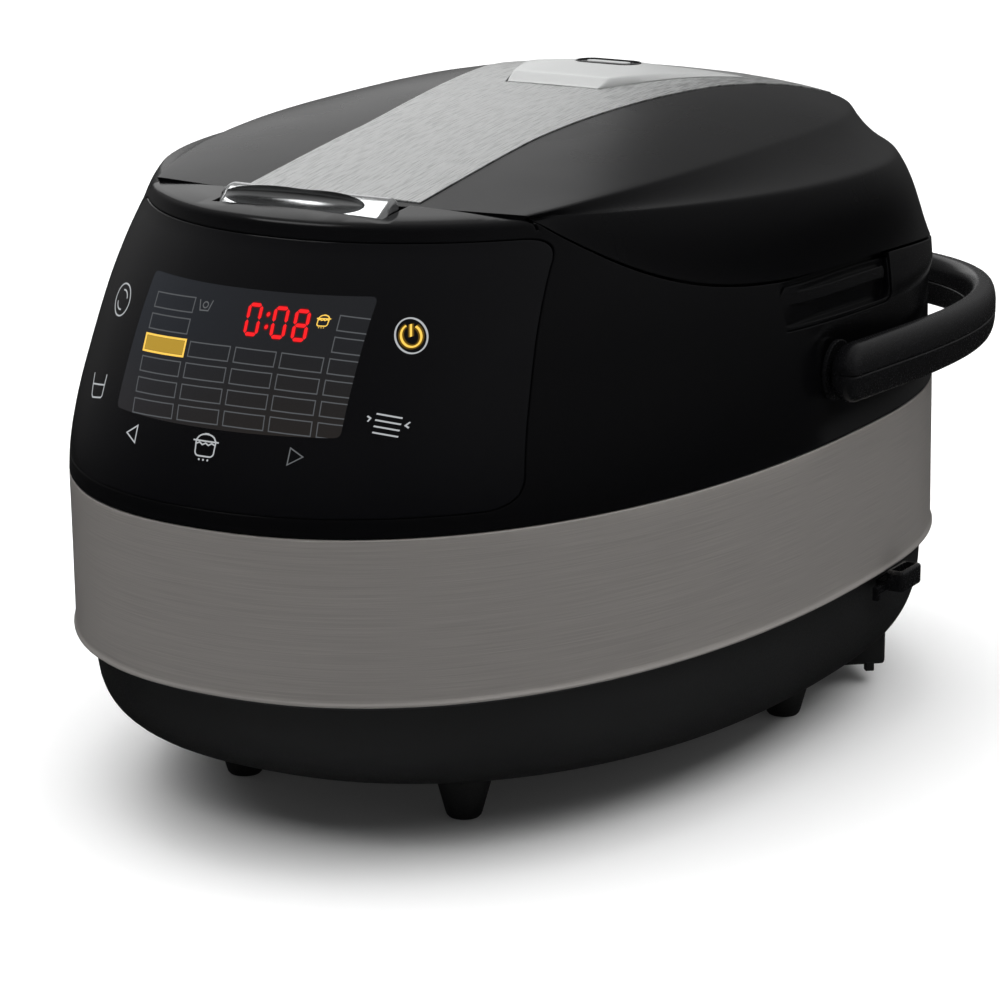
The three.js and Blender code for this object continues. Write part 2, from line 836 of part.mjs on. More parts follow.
function panelShape(extra) {
  const topHalf = panelTopHalf + extra;
  const bottomHalf = panelBottomHalf + extra;
  const low = panelBottom - extra;
  const high = panelTop + extra;
  const radius = panelCorner;
  const shape = new THREE.Shape();
  shape.moveTo(-bottomHalf + radius, low);
  shape.lineTo(bottomHalf - radius, low);
  shape.quadraticCurveTo(bottomHalf, low, bottomHalf, low + radius);
  shape.lineTo(topHalf, high - radius);
  shape.quadraticCurveTo(topHalf, high, topHalf - radius, high);
  shape.lineTo(-topHalf + radius, high);
  shape.quadraticCurveTo(-topHalf, high, -topHalf, high - radius);
  shape.lineTo(-bottomHalf, low + radius);
  shape.quadraticCurveTo(-bottomHalf, low, -bottomHalf + radius, low);
  return shape;
}

// The panel's outline seen from the front, as a prism through the front wall.
function panelPrism(extra) {
  const depth = bodyLength / 2;
  const geometry = new THREE.ExtrudeGeometry(panelShape(extra), {
    depth,
    bevelEnabled: false,
    curveSegments: 5,
  });
  return solidOf(geometry.rotateX(Math.PI / 2).translate(0, -60, 0));
}

// Room behind the front wall and below the shelf.
function shellRoom(gap) {
  const inside = shellSolid(shellWall + gap, bandTop - 20);
  const below = block(
    [-beyond, -beyond, 0],
    [beyond, beyond, shelfTop - shelfThickness - gap],
  );
  const ahead = cut(
    block([-beyond, -beyond, 0], [beyond, 60, beyond]),
    behindFrontSeam(-shellWall - gap),
  );
  return common(inside, join(below, ahead));
}

function plugPrism(gap, fromZ, toZ) {
  const ring = ringOf(plug, -gap, 0).map((point) => [point.x, point.y]);
  return planPrism(ring, fromZ, toZ);
}

function buttonWell(wallExtra, floor) {
  return block(
    [-buttonHalf - runningGap - wallExtra, -buttonFront - runningGap - wallExtra, floor],
    [buttonHalf + runningGap + wallExtra, -frontSeam + frontSeamBow, lidPeak],
  );
}

// The recess seen from the side, open at the top, drawn in by inset.
function recessOutline(inset) {
  const [start, end] = [recessY[0] + inset, recessY[1] - inset];
  const bottom = (y) => seamHeight(y) - recessHeight + inset;
  const top = sideSeam + 8;
  return [
    [start, top],
    [start, bottom(start) + recessChamfer],
    [start + recessChamfer, bottom(start)],
    [end - recessChamfer, bottom(end)],
    [end, bottom(end) + recessChamfer],
    [end, top],
  ];
}

function recessBlock(extra) {
  const outer = bodyWidth / 2 + 8;
  const x = bodyWidth / 2 - recessDepth - recessWall;
  return sidePrism(recessOutline(-extra), x - extra, outer);
}

function makeShell() {
  const outer = shellSolid(0, bandTop + 0.6);
  const lidRoom = join(
    aboveSeam(0),
    common(behindFrontSeam(0, shelfTop), plugPrism(runningGap, shelfTop, beyond)),
    frontEdgeZone(0, seamGap),
  );
  const well = common(buttonWell(shellWall, buttonFloor - 3), cut(outer, behindFrontSeam(0)));
  const walls = join(cut(outer, shellRoom(0)), well);
  const facing = cut(shellSolid(-6, bandTop), shellSolid(panelThickness + fitGap, bandTop - 1));
  const panelRecess = common(facing, panelPrism(fitGap));
  const hookSlot = block(
    [-hookHalf - runningGap, -buttonRear - 2 * hookThickness, buttonFloor - hookDepth],
    [hookHalf + runningGap, -frontSeam + frontSeamBow, buttonFloor + hookThickness],
  );
  const window = block(
    [-windowHalf, -frontSeam - shellWall - 4, windowZ[0]],
    [windowHalf, -frontSeam + frontSeamBow, windowZ[1]],
  );
  const pinEnd = buttonHalf + 3.6;
  const pinHole = bar("x", 1.8, -pinEnd, pinEnd, [buttonPinY, buttonPinZ], 12);
  const pivotHole = bar("x", pivotRadius + fitGap, -bodyWidth, bodyWidth, [handlePivotY, handlePivotZ], 20);
  const recess = recessBlock(0);
  return cut(
    walls,
    lidRoom,
    bar("z", shelfHoleRadius, bandTop, lidPeak, [0, widestBehindMiddle], 32),
    buttonWell(0, buttonFloor),
    hookSlot,
    window,
    pinHole,
    hingeRoom(),
    pivotHole,
    panelRecess,
    recess,
    mirrored(recess),
  );
}

function makePanel() {
  return common(
    cut(shellSolid(0, bandTop), shellSolid(panelThickness, bandTop - 1)),
    panelPrism(0),
  );
}

function makeRecess() {
  const inset = 0.5;
  const x = bodyWidth / 2 - recessDepth;
  const face = shellSolid(inset, bandTop);
  const outer = common(
    sidePrism(recessOutline(fitGap), x - recessWall + fitGap, bodyWidth),
    cut(face, aboveSeam(-2)),
  );
  const pocket = sidePrism(recessOutline(recessWall + fitGap), x + fitGap, bodyWidth);
  const start = recessY[0] + 1;
  const end = recessY[1] - ledgeRearGap;
  const top = (y) => seamHeight(y) - ledgeBelowSeam;
  const ledge = common(
    sidePrism(
      [
        [start, top(start)],
        [start, top(start) - ledgeHeight],
        [end - 1, top(end) - ledgeHeight],
        [end, top(end) - ledgeHeight / 2],
        [end - 1, top(end)],
      ],
      x,
      bodyWidth,
    ),
    face,
  );
  return join(cut(outer, pocket), ledge);
}

// ---------------------------------------------------------------- electronics

function makeCarrier() {
  const [width, , height] = carrierSize;
  const slab = new THREE.BoxGeometry(...carrierSize);
  const length = 60; // long enough to reach the front wall
  const posts = [];
  [-1, 1].forEach((side) => {
    [-1, 1].forEach((level) => {
      const x = side * (width / 2 - 6);
      const z = level * (height / 2 - 7);
      posts.push(new THREE.CylinderGeometry(4, 4, length, 10).translate(x, -length / 2, z));
    });
  });
  const turn = new THREE.Matrix4().makeRotationX(THREE.MathUtils.degToRad(-carrierTilt));
  const place = (geometry) => solidOf(geometry.applyMatrix4(turn).translate(0, carrierY, carrierZ));
  return common(join(place(slab), ...posts.map(place)), shellRoom(fitGap));
}

// A piece that lies parallel to the carrier, behind (positive) or ahead (negative) of it.
function onCarrier(geometry, depth) {
  const turn = new THREE.Matrix4().makeRotationX(THREE.MathUtils.degToRad(-carrierTilt));
  return solidOf(
    geometry.translate(0, depth, 0).applyMatrix4(turn).translate(0, carrierY, carrierZ),
  );
}

function makePowerBoard() {
  const board = block(
    [-powerBoardHalf, powerBoardY[0], powerBoardZ],
    [powerBoardHalf, powerBoardY[1], powerBoardZ + boardThickness],
  );
  const top = powerBoardZ + boardThickness - 0.2;
  const [front] = powerBoardY;
  const transformer = block([-44, front + 17, top], [-16, front + 45, top + 22]);
  const relay = block([-2, front + 13, top], [14, front + 31, top + 16]);
  const capacitor = bar("z", 8, top, top + 24, [32, front + 25], 16);
  const terminals = block([-8, front + 45, top], [40, front + 55, top + 10]);
  return join(board, transformer, relay, capacitor, terminals);
}

// ---------------------------------------------------------------- bowl, well and heating

const wellTop = shelfTop + fitGap;

function makeWell() {
  const wallTop = wellTop + sheet;
  return turnedRing([
    [sensorRadius + 6, wellFloor],
    [wellFloorRadius, wellFloor],
    [wellFloorRadius + 8, wellFloor + 6],
    [wellRadius, wellShoulder],
    [wellRadius, wellTop],
    [wellRadius + 6, wellTop],
    [wellRadius + 6, wallTop],
    [wellRadius - sheet, wallTop],
    [wellRadius - sheet, wellShoulder],
    [wellFloorRadius + 7, wellFloor + 6.6],
    [wellFloorRadius - 0.4, wellFloor + sheet],
    [sensorRadius + 6, wellFloor + sheet],
  ]);
}

const bowlFlangeZ = wellTop + sheet + fitGap;

function makeBowl() {
  const arc = (radius, count) =>
    Array.from({ length: count + 1 }, (_, i) => {
      const angle = (Math.PI / 2) * (i / count);
      return [
        bowlRadius - bowlCorner + radius * Math.sin(angle),
        bowlFloor + bowlCorner - radius * Math.cos(angle),
      ];
    });
  return turned([
    [0, bowlFloor],
    ...arc(bowlCorner, 5),
    [bowlRadius, bowlFlangeZ],
    [bowlRadius + bowlLip, bowlFlangeZ],
    [bowlRadius + bowlLip, bowlFlangeZ + 1.5],
    [bowlRadius - bowlWall, bowlFlangeZ + 1.5],
    ...arc(bowlCorner - bowlWall, 5).reverse(),
    [0, bowlFloor + bowlWall],
  ]);
}

const plateTop = bowlFloor - fitGap;

function makeHeatingPlate() {
  const low = plateTop - plateThickness;
  const studs = [90, 210, 330].map((degrees) => {
    const angle = THREE.MathUtils.degToRad(degrees);
    const centre = [60 * Math.cos(angle), 60 * Math.sin(angle)];
    return bar("z", 4, wellFloor + sheet + fitGap, low + 1, centre, 12);
  });
  const disc = turnedRing([
    [sensorRadius + 2, low],
    [plateRadius - 4, low],
    [plateRadius, low + 3],
    [plateRadius - 5, plateTop],
    [sensorRadius + 2, plateTop],
  ]);
  return join(disc, ...studs);
}

function makeSideHeater() {
  const inner = wellRadius + fitGap;
  return turnedRing([
    [inner, sideHeaterZ[0]],
    [inner + 1.2, sideHeaterZ[0]],
    [inner + 1.2, sideHeaterZ[1]],
    [inner, sideHeaterZ[1]],
  ]);
}

const bracketTop = wellFloor - fitGap;
const stemRadius = 4;
const stemBottom = footHeight + tubWall + sensorTravel + fitGap; // clear of the tub when pressed

// Sensor cup that presses up against the bowl, with a stem that runs in the bracket.
function makeSensor() {
  return turned(
    [
      [0, stemBottom],
      [stemRadius, stemBottom],
      [stemRadius, plateTop - 6],
      [sensorRadius, plateTop - 6],
      [sensorRadius, plateTop],
      [0, plateTop],
    ],
    28,
  );
}

function makeSensorSpring() {
  const low = bracketTop + fitGap;
  return spring(9, 1.2, plateTop - 6 - fitGap - low, 3).translate([0, 0, low]);
}

function makeSensorBracket() {
  return turnedRing(
    [
      [stemRadius + runningGap, bracketTop - 1.6],
      [sensorRadius + 14, bracketTop - 1.6],
      [sensorRadius + 14, bracketTop],
      [stemRadius + runningGap, bracketTop],
    ],
    28,
  );
}

// Fuse that opens if the well runs too hot, clipped to the front of the well.
function makeFuse() {
  const face = widestBehindMiddle - wellRadius - fitGap;
  const rod = bar("x", 2.2, -15, 15, [face - 3, fuseZ], 12);
  const clip = block([-8, face - 6, fuseZ - 3.5], [8, face, fuseZ + 3.5]);
  return join(rod, clip);
}

// ---------------------------------------------------------------- lid

// The lid's front corners, where the cover is solid and the liner stops short.
function lidCorners(extra) {
  const inner = cornerReach - 22;
  const rear = frontSeam - 24.8;
  const right = block([inner - extra, -beyond, 0], [beyond, extra - rear, beyond]);
  return join(right, mirrored(right));
}

function makeLidCover() {
  const shell = cut(lidSolid(0), cut(lidSolid(lidWall), lidCorners(0)));
  const region = common(aboveSeam(seamGap), behindFrontSeam(seamGap * 0.5));
  const plugged = common(shell, join(region, frontEdgeZone(seamGap * 0.5, 0)));
  const stripBed = cut(
    planPrism(stripPlan(fitGap), stripLow, beyond),
    lidSolid(stripThickness + fitGap - stripProud),
  );
  return cut(
    plugged,
    stripBed,
    bar("z", valveRadius + fitGap, bandTop, beyond, [0, valveBehindMiddle]),
  );
}

// The strip of lid between its bowed front edge and the straight line through its corners.
function frontEdgeZone(offset, deeper) {
  return cut(
    behindFrontSeam(offset, lidFrontHeight - lidWall - 2 - deeper),
    block([-beyond, -frontSeam + frontSeamBow + deeper, 0], [beyond, beyond, beyond]),
  );
}

function makeStrip() {
  const plate = cut(lidSolid(-stripProud), lidSolid(stripThickness - stripProud));
  return cut(
    common(plate, planPrism(stripPlan(0), stripLow, beyond)),
    planPrism(capPlan(fitGap * 1.6), stripLow, beyond),
  );
}

function makeLiner() {
  const behind = behindFrontSeam(seamGap);
  const outside = cut(plugPrism(0, linerFloor, lidPeak), lidCorners(fitGap));
  const inside = cut(
    plugPrism(-linerWall, linerFloor + linerFloorThickness, lidPeak + 1),
    lidCorners(fitGap + linerWall),
  );
  const tray = cut(outside, inside);
  const frontWall = cut(common(outside, behind), behindFrontSeam(seamGap + linerWall));
  const rearWall = block(
    [-plug.halfWidth, plugRearEnd - linerWall, linerFloor],
    [plug.halfWidth, plugRearEnd, lidPeak],
  );
  const room = common(
    lidSolid(lidWall + 2 * fitGap),
    block([-beyond, -beyond, 0], [beyond, plugRearEnd, beyond]),
  );
  const walls = common(
    join(tray, frontWall, common(rearWall, plugPrism(0, linerFloor, lidPeak))),
    room,
    behind,
    cut(block([-beyond, -beyond, 0], [beyond, beyond, linerTop]), aboveSeam(8)),
  );
  const latchPocket = block(
    [-windowHalf, -frontSeam - 2, bandTop],
    [windowHalf, -frontSeam + latchPocketReach, linerTop + 1],
  );
  const nozzleHole = bar("z", nozzleRadius + fitGap, bandTop, windowZ[1], [0, valveBehindMiddle], 24);
  return cut(walls, latchPocket, nozzleHole);
}

function makeStrike() {
  const half = 18;
  const bow = frontSeamBow * (half / cornerReach) ** 2;
  const face = -frontSeam + seamGap + linerWall + bow + fitGap;
  const [low, high] = [windowZ[0] - 4, windowZ[1] - 6];
  const outside = block([-half, face, low], [half, face + 5, high]);
  const gate = block([-windowHalf, face - 1, low - 1], [windowHalf, face + 3.4, high + 1]);
  return cut(outside, gate);
}

const lidPlateZ = linerFloor - 3.2;
const gasketRadius = bowlRadius + bowlLip - 0.5;
const lidPlateRadius = gasketRadius - 7;

function makeLidPlate() {
  const disc = turned([
    [0, lidPlateZ],
    [lidPlateRadius - fitGap, lidPlateZ],
    [lidPlateRadius - fitGap, lidPlateZ + sheet],
    [8, lidPlateZ + sheet],
    [8, linerFloor - fitGap],
    [0, linerFloor - fitGap],
  ]).translate([0, widestBehindMiddle, 0]);
  return cut(disc, bar("z", nozzleRadius + 4, bandTop, windowZ[0], [0, valveBehindMiddle], 24));
}

function makeGasket() {
  const low = bowlFlangeZ + 1.5 + fitGap;
  return turnedRing([
    [lidPlateRadius, lidPlateZ - 0.5],
    [gasketRadius - 3, low],
    [gasketRadius, low],
    [gasketRadius, linerFloor - fitGap],
    [lidPlateRadius, linerFloor - fitGap],
  ]);
}

const valveFloor = linerFloor + linerFloorThickness + fitGap;

function makeValveBody() {
  const top = crownHeight(valveBehindMiddle) - lidWall - 8;
  return turnedRing([
    [4, linerFloor - 2],
    [nozzleRadius, linerFloor - 2],
    [nozzleRadius, valveFloor],
    [valveRadius, valveFloor],
    [valveRadius, top],
    [valveRadius - valveWall, top],
    [valveRadius - valveWall, valveFloor + 2.5],
    [4, valveFloor + 2.5],
  ], 24);
}

function makeValveSeal() {
  return turnedRing([
    [nozzleRadius + fitGap, lidPlateZ - 0.5],
    [nozzleRadius + 3.4, lidPlateZ - 0.5],
    [nozzleRadius + 3.4, linerFloor - fitGap],
    [nozzleRadius + fitGap, linerFloor - fitGap],
  ], 24);
}

function ventShape(extra) {
  const radius = ventWidth / 2 + extra;
  const half = ventLength / 2 - ventWidth / 2;
  const shape = new THREE.Shape();
  shape.absarc(half, valveBehindMiddle, radius, -Math.PI / 2, Math.PI / 2);
  shape.absarc(-half, valveBehindMiddle, radius, Math.PI / 2, 1.5 * Math.PI);
  return shape;
}

function ventPrism(extra, fromZ, toZ) {
  const geometry = new THREE.ExtrudeGeometry(ventShape(extra), {
    depth: toZ - fromZ,
    bevelEnabled: false,
    curveSegments: 8,
  });
  return solidOf(geometry.translate(0, 0, fromZ));
}

function makeCap() {
  const body = cut(
    capBlock(),
    lidSolid(stripThickness - stripProud - fitGap),
  );
  const spigotRadius = valveRadius - valveWall - runningGap;
  const spigotLow = capTop - 29.4;
  const spigot = bar("z", spigotRadius, spigotLow, capTop - 2, [0, valveBehindMiddle]);
  const bore = bar("z", spigotRadius - 1.6, spigotLow - 1, capTop - 3.4, [0, valveBehindMiddle]);
  return cut(join(body, spigot), bore, ventPrism(fitGap, spigotLow - 1, beyond));
}

function makeVent() {
  const plate = ventPrism(0, capTop - 3, capTop + 0.2);
  const slots = [-3.2, 0, 3.2].map((across) =>
    block(
      [-ventLength / 2 + 6, valveBehindMiddle + across - 0.7, stripLow],
      [ventLength / 2 - 6, valveBehindMiddle + across + 0.7, beyond],
    ),
  );
  return cut(plate, ...slots);
}

// ---------------------------------------------------------------- hinge

const earThickness = 3;
const lidEarX = 22;
const bodyEarX = 26.5;
const pinCentre = [hingeY, hingeZ];
const bayWallRear = plugRearEnd + 2.5;

// Room for the lid's rear edge as it swings down round the pin, and for the hinge itself. The
// barrel's radius at each station is the distance from the pin to the rear edge there.
function hingeRoom() {
  const edgeZ = seamHeight(bodyLength / 2) - hingeZ;
  const { halfWidth, rear } = shellSection(edgeZ + hingeZ);
  const profile = [-1, -0.93, -0.83, -0.66, -0.4, 0, 0.4, 0.66, 0.83, 0.93, 1].map((share) => {
    const x = share * (hingeBayHalf + 4);
    const outline = (1 - (Math.abs(x) / halfWidth) ** rearFullness) ** (1 / rearFullness);
    const behind = widestBehindMiddle + rear * outline - hingeY;
    return new THREE.Vector2(Math.hypot(behind, edgeZ) + seamGap, x);
  });
  const ends = [profile[0], profile[profile.length - 1]].map(({ y }) => new THREE.Vector2(0, y));
  const barrel = new THREE.LatheGeometry([ends[0], ...profile, ends[1]], 32);
  const hardware = block(
    [-hingeHalf - 1, bayWallRear, bayFloor + 4],
    [hingeHalf + 1, hingeY + 4, hingeZ + 20],
  );
  return join(solidOf(barrel.rotateZ(-Math.PI / 2).translate(0, ...pinCentre)), hardware);
}

function ear(x, points) {
  const low = x - earThickness / 2;
  const high = x + earThickness / 2;
  return cut(
    join(sidePrism(points, low, high), bar("x", hingeEar, low, high, pinCentre)),
    bar("x", hingePinRadius + fitGap, low - 1, high + 1, pinCentre, 16),
  );
}

function makeLidHinge() {
  const back = plugRearEnd + fitGap;
  const plate = block([-lidEarX - 4, back, linerFloor], [lidEarX + 4, back + 2, linerFloor + 14]);
  const arm = [
    [back + 1, linerFloor],
    [hingeY - 1, hingeZ - hingeEar + 0.4],
    [hingeY, hingeZ + hingeEar],
    [back + 1, linerFloor + 12],
  ];
  return join(plate, ear(lidEarX, arm), ear(-lidEarX, arm));
}

// Coil round the pin that helps the lid up.
function makeHingeSpring() {
  const length = 2 * lidEarX - 8;
  const coil = spring(hingePinRadius + 1.6, 1.4, length, 6).rotate([0, 90, 0]);
  return coil.translate([-length / 2, ...pinCentre]);
}

// Bracket on the bay's front wall. Its arms reach back above the path of the lid's rear edge.
function makeBodyHinge() {
  const back = bayWallRear + fitGap;
  const top = shelfTop - shelfThickness - 1;
  const plate = block([-hingeHalf, back, bayFloor + 5], [hingeHalf, back + 2, top]);
  const arm = [
    [back + 1, bayFloor + 10],
    [hingeY - 4, hingeZ - 5.5],
    [hingeY, hingeZ - hingeEar],
    [hingeY - 1, hingeZ + hingeEar - 0.4],
    [back + 1, top],
  ];
  return join(plate, ear(bodyEarX, arm), ear(-bodyEarX, arm));
}

// Tray under the hinge, between the well and the rear wall.
function makeBay() {
  const half = hingeBayHalf;
  const underShelf = shelfTop - shelfThickness - fitGap;
  const floor = block([-half, plugRearEnd, bayFloor], [half, beyond, bayFloor + bayFloorThickness]);
  const front = block([-half, plugRearEnd, bayFloor], [half, bayWallRear, underShelf]);
  return common(join(floor, front), shellRoom(fitGap));
}

// ---------------------------------------------------------------- release button

function makeButton() {
  const rear = -buttonRear;
  const front = -buttonFront;
  const low = buttonFloor + 4;
  const section = [
    [front, low + 1],
    [rear, low],
    [rear, buttonTop - 3],
    [rear - 1.6, buttonTop - 0.4],
    [rear - 4, buttonTop],
    [rear - 6, buttonTop - 0.6],
    [front, buttonFrontTop],
  ];
  const body = sidePrism(section, -buttonHalf, buttonHalf);
  const scoop = solidOf(
    new THREE.SphereGeometry(1, 24, 12)
      .scale(buttonHalf * 0.86, 9.5, 4.6)
      .translate(-4, -buttonFront - 1.5 + 4, buttonFrontTop + 3.6),
  );
  const hookLow = buttonFloor - hookDepth;
  const arm = block([-hookHalf, rear - hookThickness, hookLow], [hookHalf, rear, low + 1]);
  const nose = block(
    [-hookHalf, rear - hookThickness, hookLow],
    [hookHalf, -frontSeam + hookReach, hookLow + hookThickness],
  );
  const bore = bar("x", 1.8, -bodyWidth, bodyWidth, [buttonPinY, buttonPinZ], 12);
  return cut(join(body, arm, nose), scoop, bore);
}

// ---------------------------------------------------------------- handle

// Centre line of the right arm from its nose to the middle of the crossbar, about the pivot. Each
// point carries how tall and how thick the arm is there, for the rounded nose.
function handleLine() {
  const nose = [
    [0, 0.3, 0.5],
    [0.08, 0.5, 0.85],
    [0.3, 0.76, 1],
    [0.6, 0.94, 1],
    [1, 1, 1],
  ];
  const line = nose.map(([share, tall, thick]) => [
    handleCentre,
    -handleNose * (1 - share),
    tall,
    thick,
  ]);
  const steps = 9;
  for (let i = 0; i <= steps; i += 1) {
    const angle = (Math.PI / 2) * (i / steps);
    line.push([
      handleCentre * Math.cos(angle) ** (2 / handleFullness),
      handleStraight + handleDepth * Math.sin(angle) ** (2 / handleFullness),
      1 - handleTaper * (i / steps),
      1,
    ]);
  }
  line[line.length - 1][0] = 0;
  return line;
}

// Half of the handle's section as [outwards, upwards] from the parting line, up or down.
function handleSection(side, tallShare, thickShare) {
  const half = (handleThickness / 2) * thickShare;
  const tall = (handleHeight / 2) * tallShare;
  const parting = fitGap / 2;
  return [
    [-half, parting],
    [half, parting],
    [half * 0.97, tall * 0.5],
    [half * 0.6, tall * 0.88],
    [0, tall],
    [-half * 0.6, tall * 0.88],
    [-half * 0.97, tall * 0.5],
  ].map(([out, high]) => [out, high * side]);
}

function makeHandleHalf(side) {
  const right = handleLine();
  const left = right.slice(0, -1).map(([x, ...rest]) => [-x, ...rest]).reverse();
  const line = [...right, ...left];
  const rings = line.map(([x, y, tall, thick], i) => {
    const [beforeX, beforeY] = line[Math.max(i - 1, 0)];
    const [afterX, afterY] = line[Math.min(i + 1, line.length - 1)];
    const along = new THREE.Vector2(afterX - beforeX, afterY - beforeY).normalize();
    return handleSection(side, tall, thick).map(([out, high]) =>
      new THREE.Vector3(x + along.y * out, y - along.x * out, high),
    );
  });
  const bore = bar("x", pivotRadius + fitGap, -handleCentre - 1, handleCentre + 1, [0, 0], 20);
  return cut(loft(rings), bore);
}

// Pivot: a bolt with a collar outside the shell and a head inside.
function makePivot() {
  const wallOut = bodyWidth / 2 - scoopDepth + fitGap;
  const wallIn = wallOut - shellWall - 4 * fitGap;
  return join(
    bar("x", pivotRadius, wallIn - 2, handleCentre - 1, [0, 0], 20),
    bar("x", pivotRadius + 3, wallIn - 3, wallIn, [0, 0], 20),
    bar("x", handleHeight / 2, wallOut, wallOut + 1.6, [0, 0], 24),
  );
}

// ---------------------------------------------------------------- assembly

const colours = {
  gloss: { color: 0x0a0a0c, roughness: 0.18, metalness: 0 },
  matt: { color: 0x26272a, roughness: 0.55, metalness: 0 },
  steel: { color: 0x8d8781, roughness: 0.35, metalness: 1 },
  strip: { color: 0xc4c6c6, roughness: 0.3, metalness: 1 },
  chrome: { color: 0xd8d8d8, roughness: 0.08, metalness: 1 },
  sheet: { color: 0xb4b6b8, roughness: 0.35, metalness: 1 },
  coated: { color: 0x2c2c2e, roughness: 0.5, metalness: 0.1 },
  rubber: { color: 0x1a1a1a, roughness: 0.8, metalness: 0 },
  silicone: { color: 0xd8d4cc, roughness: 0.6, metalness: 0 },
  board: { color: 0x1f5a34, roughness: 0.5, metalness: 0 },
  cast: { color: 0x9a9c9e, roughness: 0.5, metalness: 0.8 },
};

const cooker = new THREE.Group();
const body = new THREE.Group();
const lid = new THREE.Group();
const button = new THREE.Group();
const handle = new THREE.Group();
cooker.add(body, lid, button, handle);

function place(group, name, solid, colour, position = [0, 0, 0]) {
  const mesh = new THREE.Mesh(geometryOf(solid), new THREE.MeshStandardMaterial(colours[colour]));
  mesh.name = name;
  mesh.position.set(...position);
  group.add(mesh);
  return mesh;
}

place(body, "base_tub", makeTub(), "matt");
feet.forEach(([name, x, y]) => {
  const clear = tubSolid(-fitGap).translate([-x, -y, 0]);
  place(body, name, cut(makeFoot(), clear), "rubber", [x, y, 0]);
});
place(body, "band_frame", makeBandFrame(), "matt");
place(body, "steel_band", makeBand(), "steel");
place(body, "upper_shell", makeShell(), "gloss");
place(body, "control_panel", makePanel(), "gloss");
place(body, "side_recess_right", makeRecess(), "matt");
place(body, "side_recess_left", mirrored(makeRecess()), "matt");

place(body, "panel_carrier", makeCarrier(), "matt");
place(body, "display_module", onCarrier(new THREE.BoxGeometry(...displaySize), -3.8), "coated");
place(body, "control_board", onCarrier(new THREE.BoxGeometry(...controlBoardSize), 2.6), "board");
place(body, "power_board", makePowerBoard(), "board");

const middle = [0, widestBehindMiddle, 0];
place(body, "well", makeWell(), "sheet", middle);
place(body, "heating_plate", makeHeatingPlate(), "cast", middle);
place(body, "side_heater", makeSideHeater(), "cast", middle);
place(body, "sensor_bracket", makeSensorBracket(), "sheet", middle);
place(body, "bowl", makeBowl(), "coated", middle);
place(body, "thermostat", makeSensor(), "sheet", middle);
place(body, "thermostat_spring", makeSensorSpring(), "sheet", middle);
place(body, "thermal_fuse", makeFuse(), "sheet");

place(body, "inlet_housing", makeInlet(), "matt");
place(body, "inlet_pins", makeInletPins(), "sheet");
place(body, "spoon_holder", makeSpoonHolder(), "matt");

place(body, "hinge_bay", makeBay(), "matt");
place(body, "hinge_bracket", makeBodyHinge(), "sheet");
place(
  body,
  "hinge_pin",
  bar("x", hingePinRadius, -hingeHalf, hingeHalf, [0, 0], 16),
  "sheet",
  [0, hingeY, hingeZ],
);
place(body, "hinge_spring", makeHingeSpring(), "sheet");
place(
  body,
  "button_pin",
  bar("x", 1.5, -buttonHalf - 3, buttonHalf + 3, [0, 0], 12),
  "sheet",
  [0, buttonPinY, buttonPinZ],
);

place(lid, "lid_cover", makeLidCover(), "gloss");
place(lid, "lid_strip", makeStrip(), "strip");
place(lid, "lid_liner", makeLiner(), "matt");
place(lid, "lid_plate", makeLidPlate(), "sheet");
place(lid, "lid_gasket", makeGasket(), "silicone", middle);
place(lid, "latch_strike", makeStrike(), "sheet");
place(lid, "lid_hinge_arm", makeLidHinge(), "sheet");
const valvePlace = [0, valveBehindMiddle, 0];
place(lid, "steam_valve_body", makeValveBody(), "matt", valvePlace);
place(lid, "steam_valve_seal", makeValveSeal(), "silicone", valvePlace);
place(lid, "steam_cap", makeCap(), "strip");
place(lid, "steam_vent", makeVent(), "gloss");

place(button, "release_button", makeButton(), "chrome");

handle.position.set(0, handlePivotY, handlePivotZ);
const rightPivot = makePivot();
place(handle, "handle_pivot_right", rightPivot, "matt");
place(handle, "handle_pivot_left", mirrored(rightPivot), "matt");
const swing = new THREE.Group();
swing.rotation.x = THREE.MathUtils.degToRad(-handleDroop);
handle.add(swing);
place(swing, "handle_upper", makeHandleHalf(1), "matt");
place(swing, "handle_lower", makeHandleHalf(-1), "matt");

// The origin is under the middle of the footprint, handle and all.
const handleRear = handlePivotY + handleStraight + handleDepth + handleThickness / 2;
cooker.position.y = -(handleRear - bodyLength / 2) / 2;
const multicooker = new THREE.Group();
multicooker.add(cooker);

export default multicooker;
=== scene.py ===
from math import cos, pi, radians, sin

import bmesh
import bpy
import numpy as np
from mathutils import Matrix, Vector


